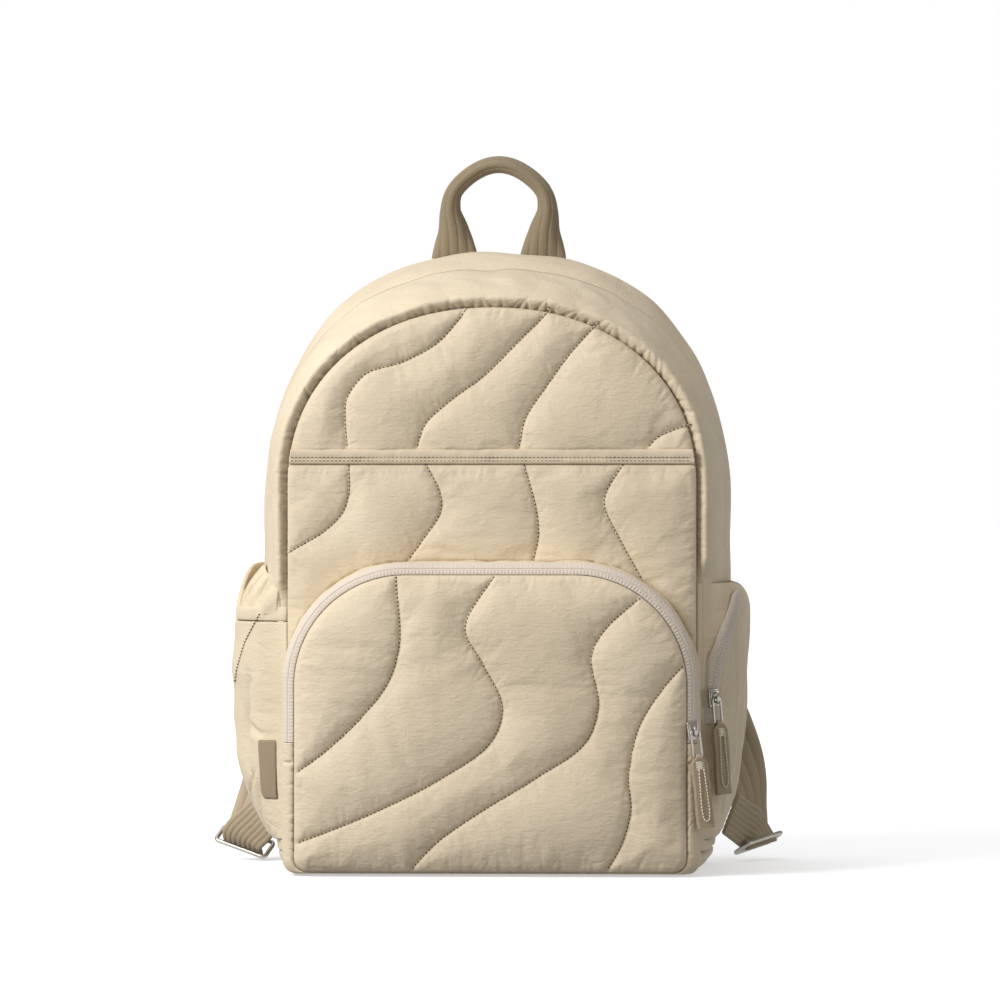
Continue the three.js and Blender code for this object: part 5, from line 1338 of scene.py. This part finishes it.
def add_pull(name, place, turn, lean):
    settle = Matrix.Translation(Vector(place)) @ Matrix.Rotation(turn, 4, "Z") @ Matrix.Rotation(lean, 4, "Y")
    slider = bmesh.new()
    slab(slider, (8, 2.0, 12), (0, -1.0, 0), 0.9)
    slab(slider, (6.4, 1.4, 9.4), (0, -2.4, 0), 0.6)
    arched = bent_shell(23, 10, bail)
    loose = bpy.data.meshes.new("bail")
    arched.to_mesh(loose)
    slider.from_mesh(loose)
    arched.free()
    bpy.data.meshes.remove(loose)
    bmesh.ops.transform(slider, matrix=settle, verts=slider.verts)
    show(name + "_slider", slider, nickel, [name + "_zip_slider"])

    link_y, link_z = -4.3, -8.2
    link = wire_ring(18.0, 7.4, 1.6, 1.6)
    bmesh.ops.transform(link, matrix=settle @ Matrix.Translation((0, link_y, link_z)), verts=link.verts)
    show(name + "_link", link, nickel, [name + "_zip_link"])

    bar = link_z - 8.2

    def tab_shape(u, v):
        folded = np.abs(2 * u - 1)
        sheet = np.where(u < 0.5, 1.0, -1.0)
        down = folded * 49
        near = np.clip(down / 3.2, 0, 1)
        depth = 2.0 * np.sin(near * math.pi / 2) * (1 - 0.42 * np.clip((down - 3) / 4, 0, 1))
        z = bar + 1.9 - folded * 48
        width = 1.7 + 3.8 * np.clip((down - 1.5) / 5, 0, 1)
        angle = 2 * math.pi * v
        x = width * bent(np.cos(angle), 0.35) + 0.5 * np.sin(z / 7) * folded
        half = (0.85 + 0.12 * np.cos(z * 2 * math.pi / 1.3)) * bent(np.sin(angle), 0.6)
        y = link_y - sheet * depth - half + 0.7 * np.sin(z / 11) * folded
        return np.column_stack([x, y, z])

    tab = bent_shell(300, 24, tab_shape)
    bmesh.ops.transform(tab, matrix=settle, verts=tab.verts)
    show(name + "_tab", tab, grosgrain, [name + "_zip_tab"])

    sewing = bmesh.new()
    face = link_y - 2.75
    foot, head = bar - 42.0, bar - 8.0
    loop = [(-1.6, head), (-1.7, foot + 2), (0, foot), (1.9, foot + 2), (1.8, head)]
    track = evenly(curve_at(loop, np.linspace(0, 1, 200)), 2.1)
    for a, b in zip(track[:-1], track[1:]):
        middle = (a + b) / 2
        swing = 0.7 * math.sin(middle[1] / 11)
        dash(sewing, (middle[0], face + swing, middle[1]), (b[0] - a[0], 0, b[1] - a[1]), (1.15, 0.62, 0.5))
    for k in range(9):
        z = bar - 3.6 - 0.55 * k
        dash(sewing, (0, face + 0.1, z), (1, 0, 0.12 if k % 2 else -0.12), (3.6, 0.5, 0.45))
    bmesh.ops.transform(sewing, matrix=settle, verts=sewing.verts)
    show(name + "_tab_stitches", sewing, cream_thread)


tape_lean = math.atan2(5.0, ZIP_WIDTH)
front_pull = POCKET_HALF + ZIP_WIDTH / 2, (SEAM_PLANE + ZIP_PLANE) / 2 - 1.9, ZIP_END + 8
add_pull("front", front_pull, tape_lean * 0.6, -0.13)
SIDE_PULL_UP, SIDE_PULL_OUT = 113.0, 6.3
side_pull = side_place(zipped, np.array([0.0]), np.array([SIDE_PULL_UP]), SIDE_PULL_OUT)[0]
add_pull("right", (side_pull[0], side_pull[1] - 1.4, side_pull[2]), tape_lean, -0.1)

# %% [markdown]
# ## Stitches
# Every quilt seam is a row of machine stitches, each a short thread that dives into a needle
# hole. They are small beads, a thread and then a dark bead of painted shade for the hole, about ten of each to
# the inch.

# %% Stitches along the seams
def sew(threads, holes, line, normal=(0, -1, 0), pitch=2.6, size=1.0):
    track = evenly(np.array(line), pitch)
    for a, b in zip(track[:-1], track[1:]):
        along, out = b - a, np.array(normal)
        dash(threads, tuple((a + b) / 2 + 0.3 * size * out), along, (0.9 * size, 0.6 * size, 0.45 * size))
        # The hole bead is painted shade: a dark bead where the needle hole would be in shadow.
        dash(holes, tuple(a + 0.15 * out), along, (0.7 * size, 1.15 * size, 0.45 * size))


threads, holes = bmesh.new(), bmesh.new()
for line in upper_seams:
    part = line[line[:, 1] > MOUTH + 5]
    level = np.full(len(part), PANEL_PLANE - SEAM_EDGE)
    sew(threads, holes, np.column_stack([part[:, 0], level, part[:, 1]]))
for line in slip_seams:
    part = line[(line[:, 1] < MOUTH - 5) & ~inside(pocket_outline(8.5, FOOT_GROW), line)]
    level = np.full(len(part), SLIP_PLANE - SEAM_EDGE)
    sew(threads, holes, np.column_stack([part[:, 0], level, part[:, 1]]))
for line in pocket_seams:
    part = line[inside(pocket_outline(-1.0, -1.0), line)]
    level = SEAM_PLANE + ZIP_TAPE - SEAM_EDGE - pocket_dome(part)
    sew(threads, holes, np.column_stack([part[:, 0], level, part[:, 1]]))
for z in (MOUTH - 2.6, MOUTH - 0.4):
    across = np.linspace(-1, 1, 60) * (front_half_at(z) - 2)
    sew(threads, holes, np.column_stack([across, np.full(60, -67.3), np.full(60, z)]), size=0.8)
slant = np.linspace(0, 1, 40)
pocket_seam = side_place(bottle, 0.06 + 0.3 * slant, 166 - 46 * slant, SIDE_CLOTH + 0.1)
sew(threads, holes, pocket_seam, (-0.7, -0.7, 0), size=0.9)
show("seam_threads", threads, thread)
show("seam_needle_hole_painted_shade", holes, hole_painted_shade)
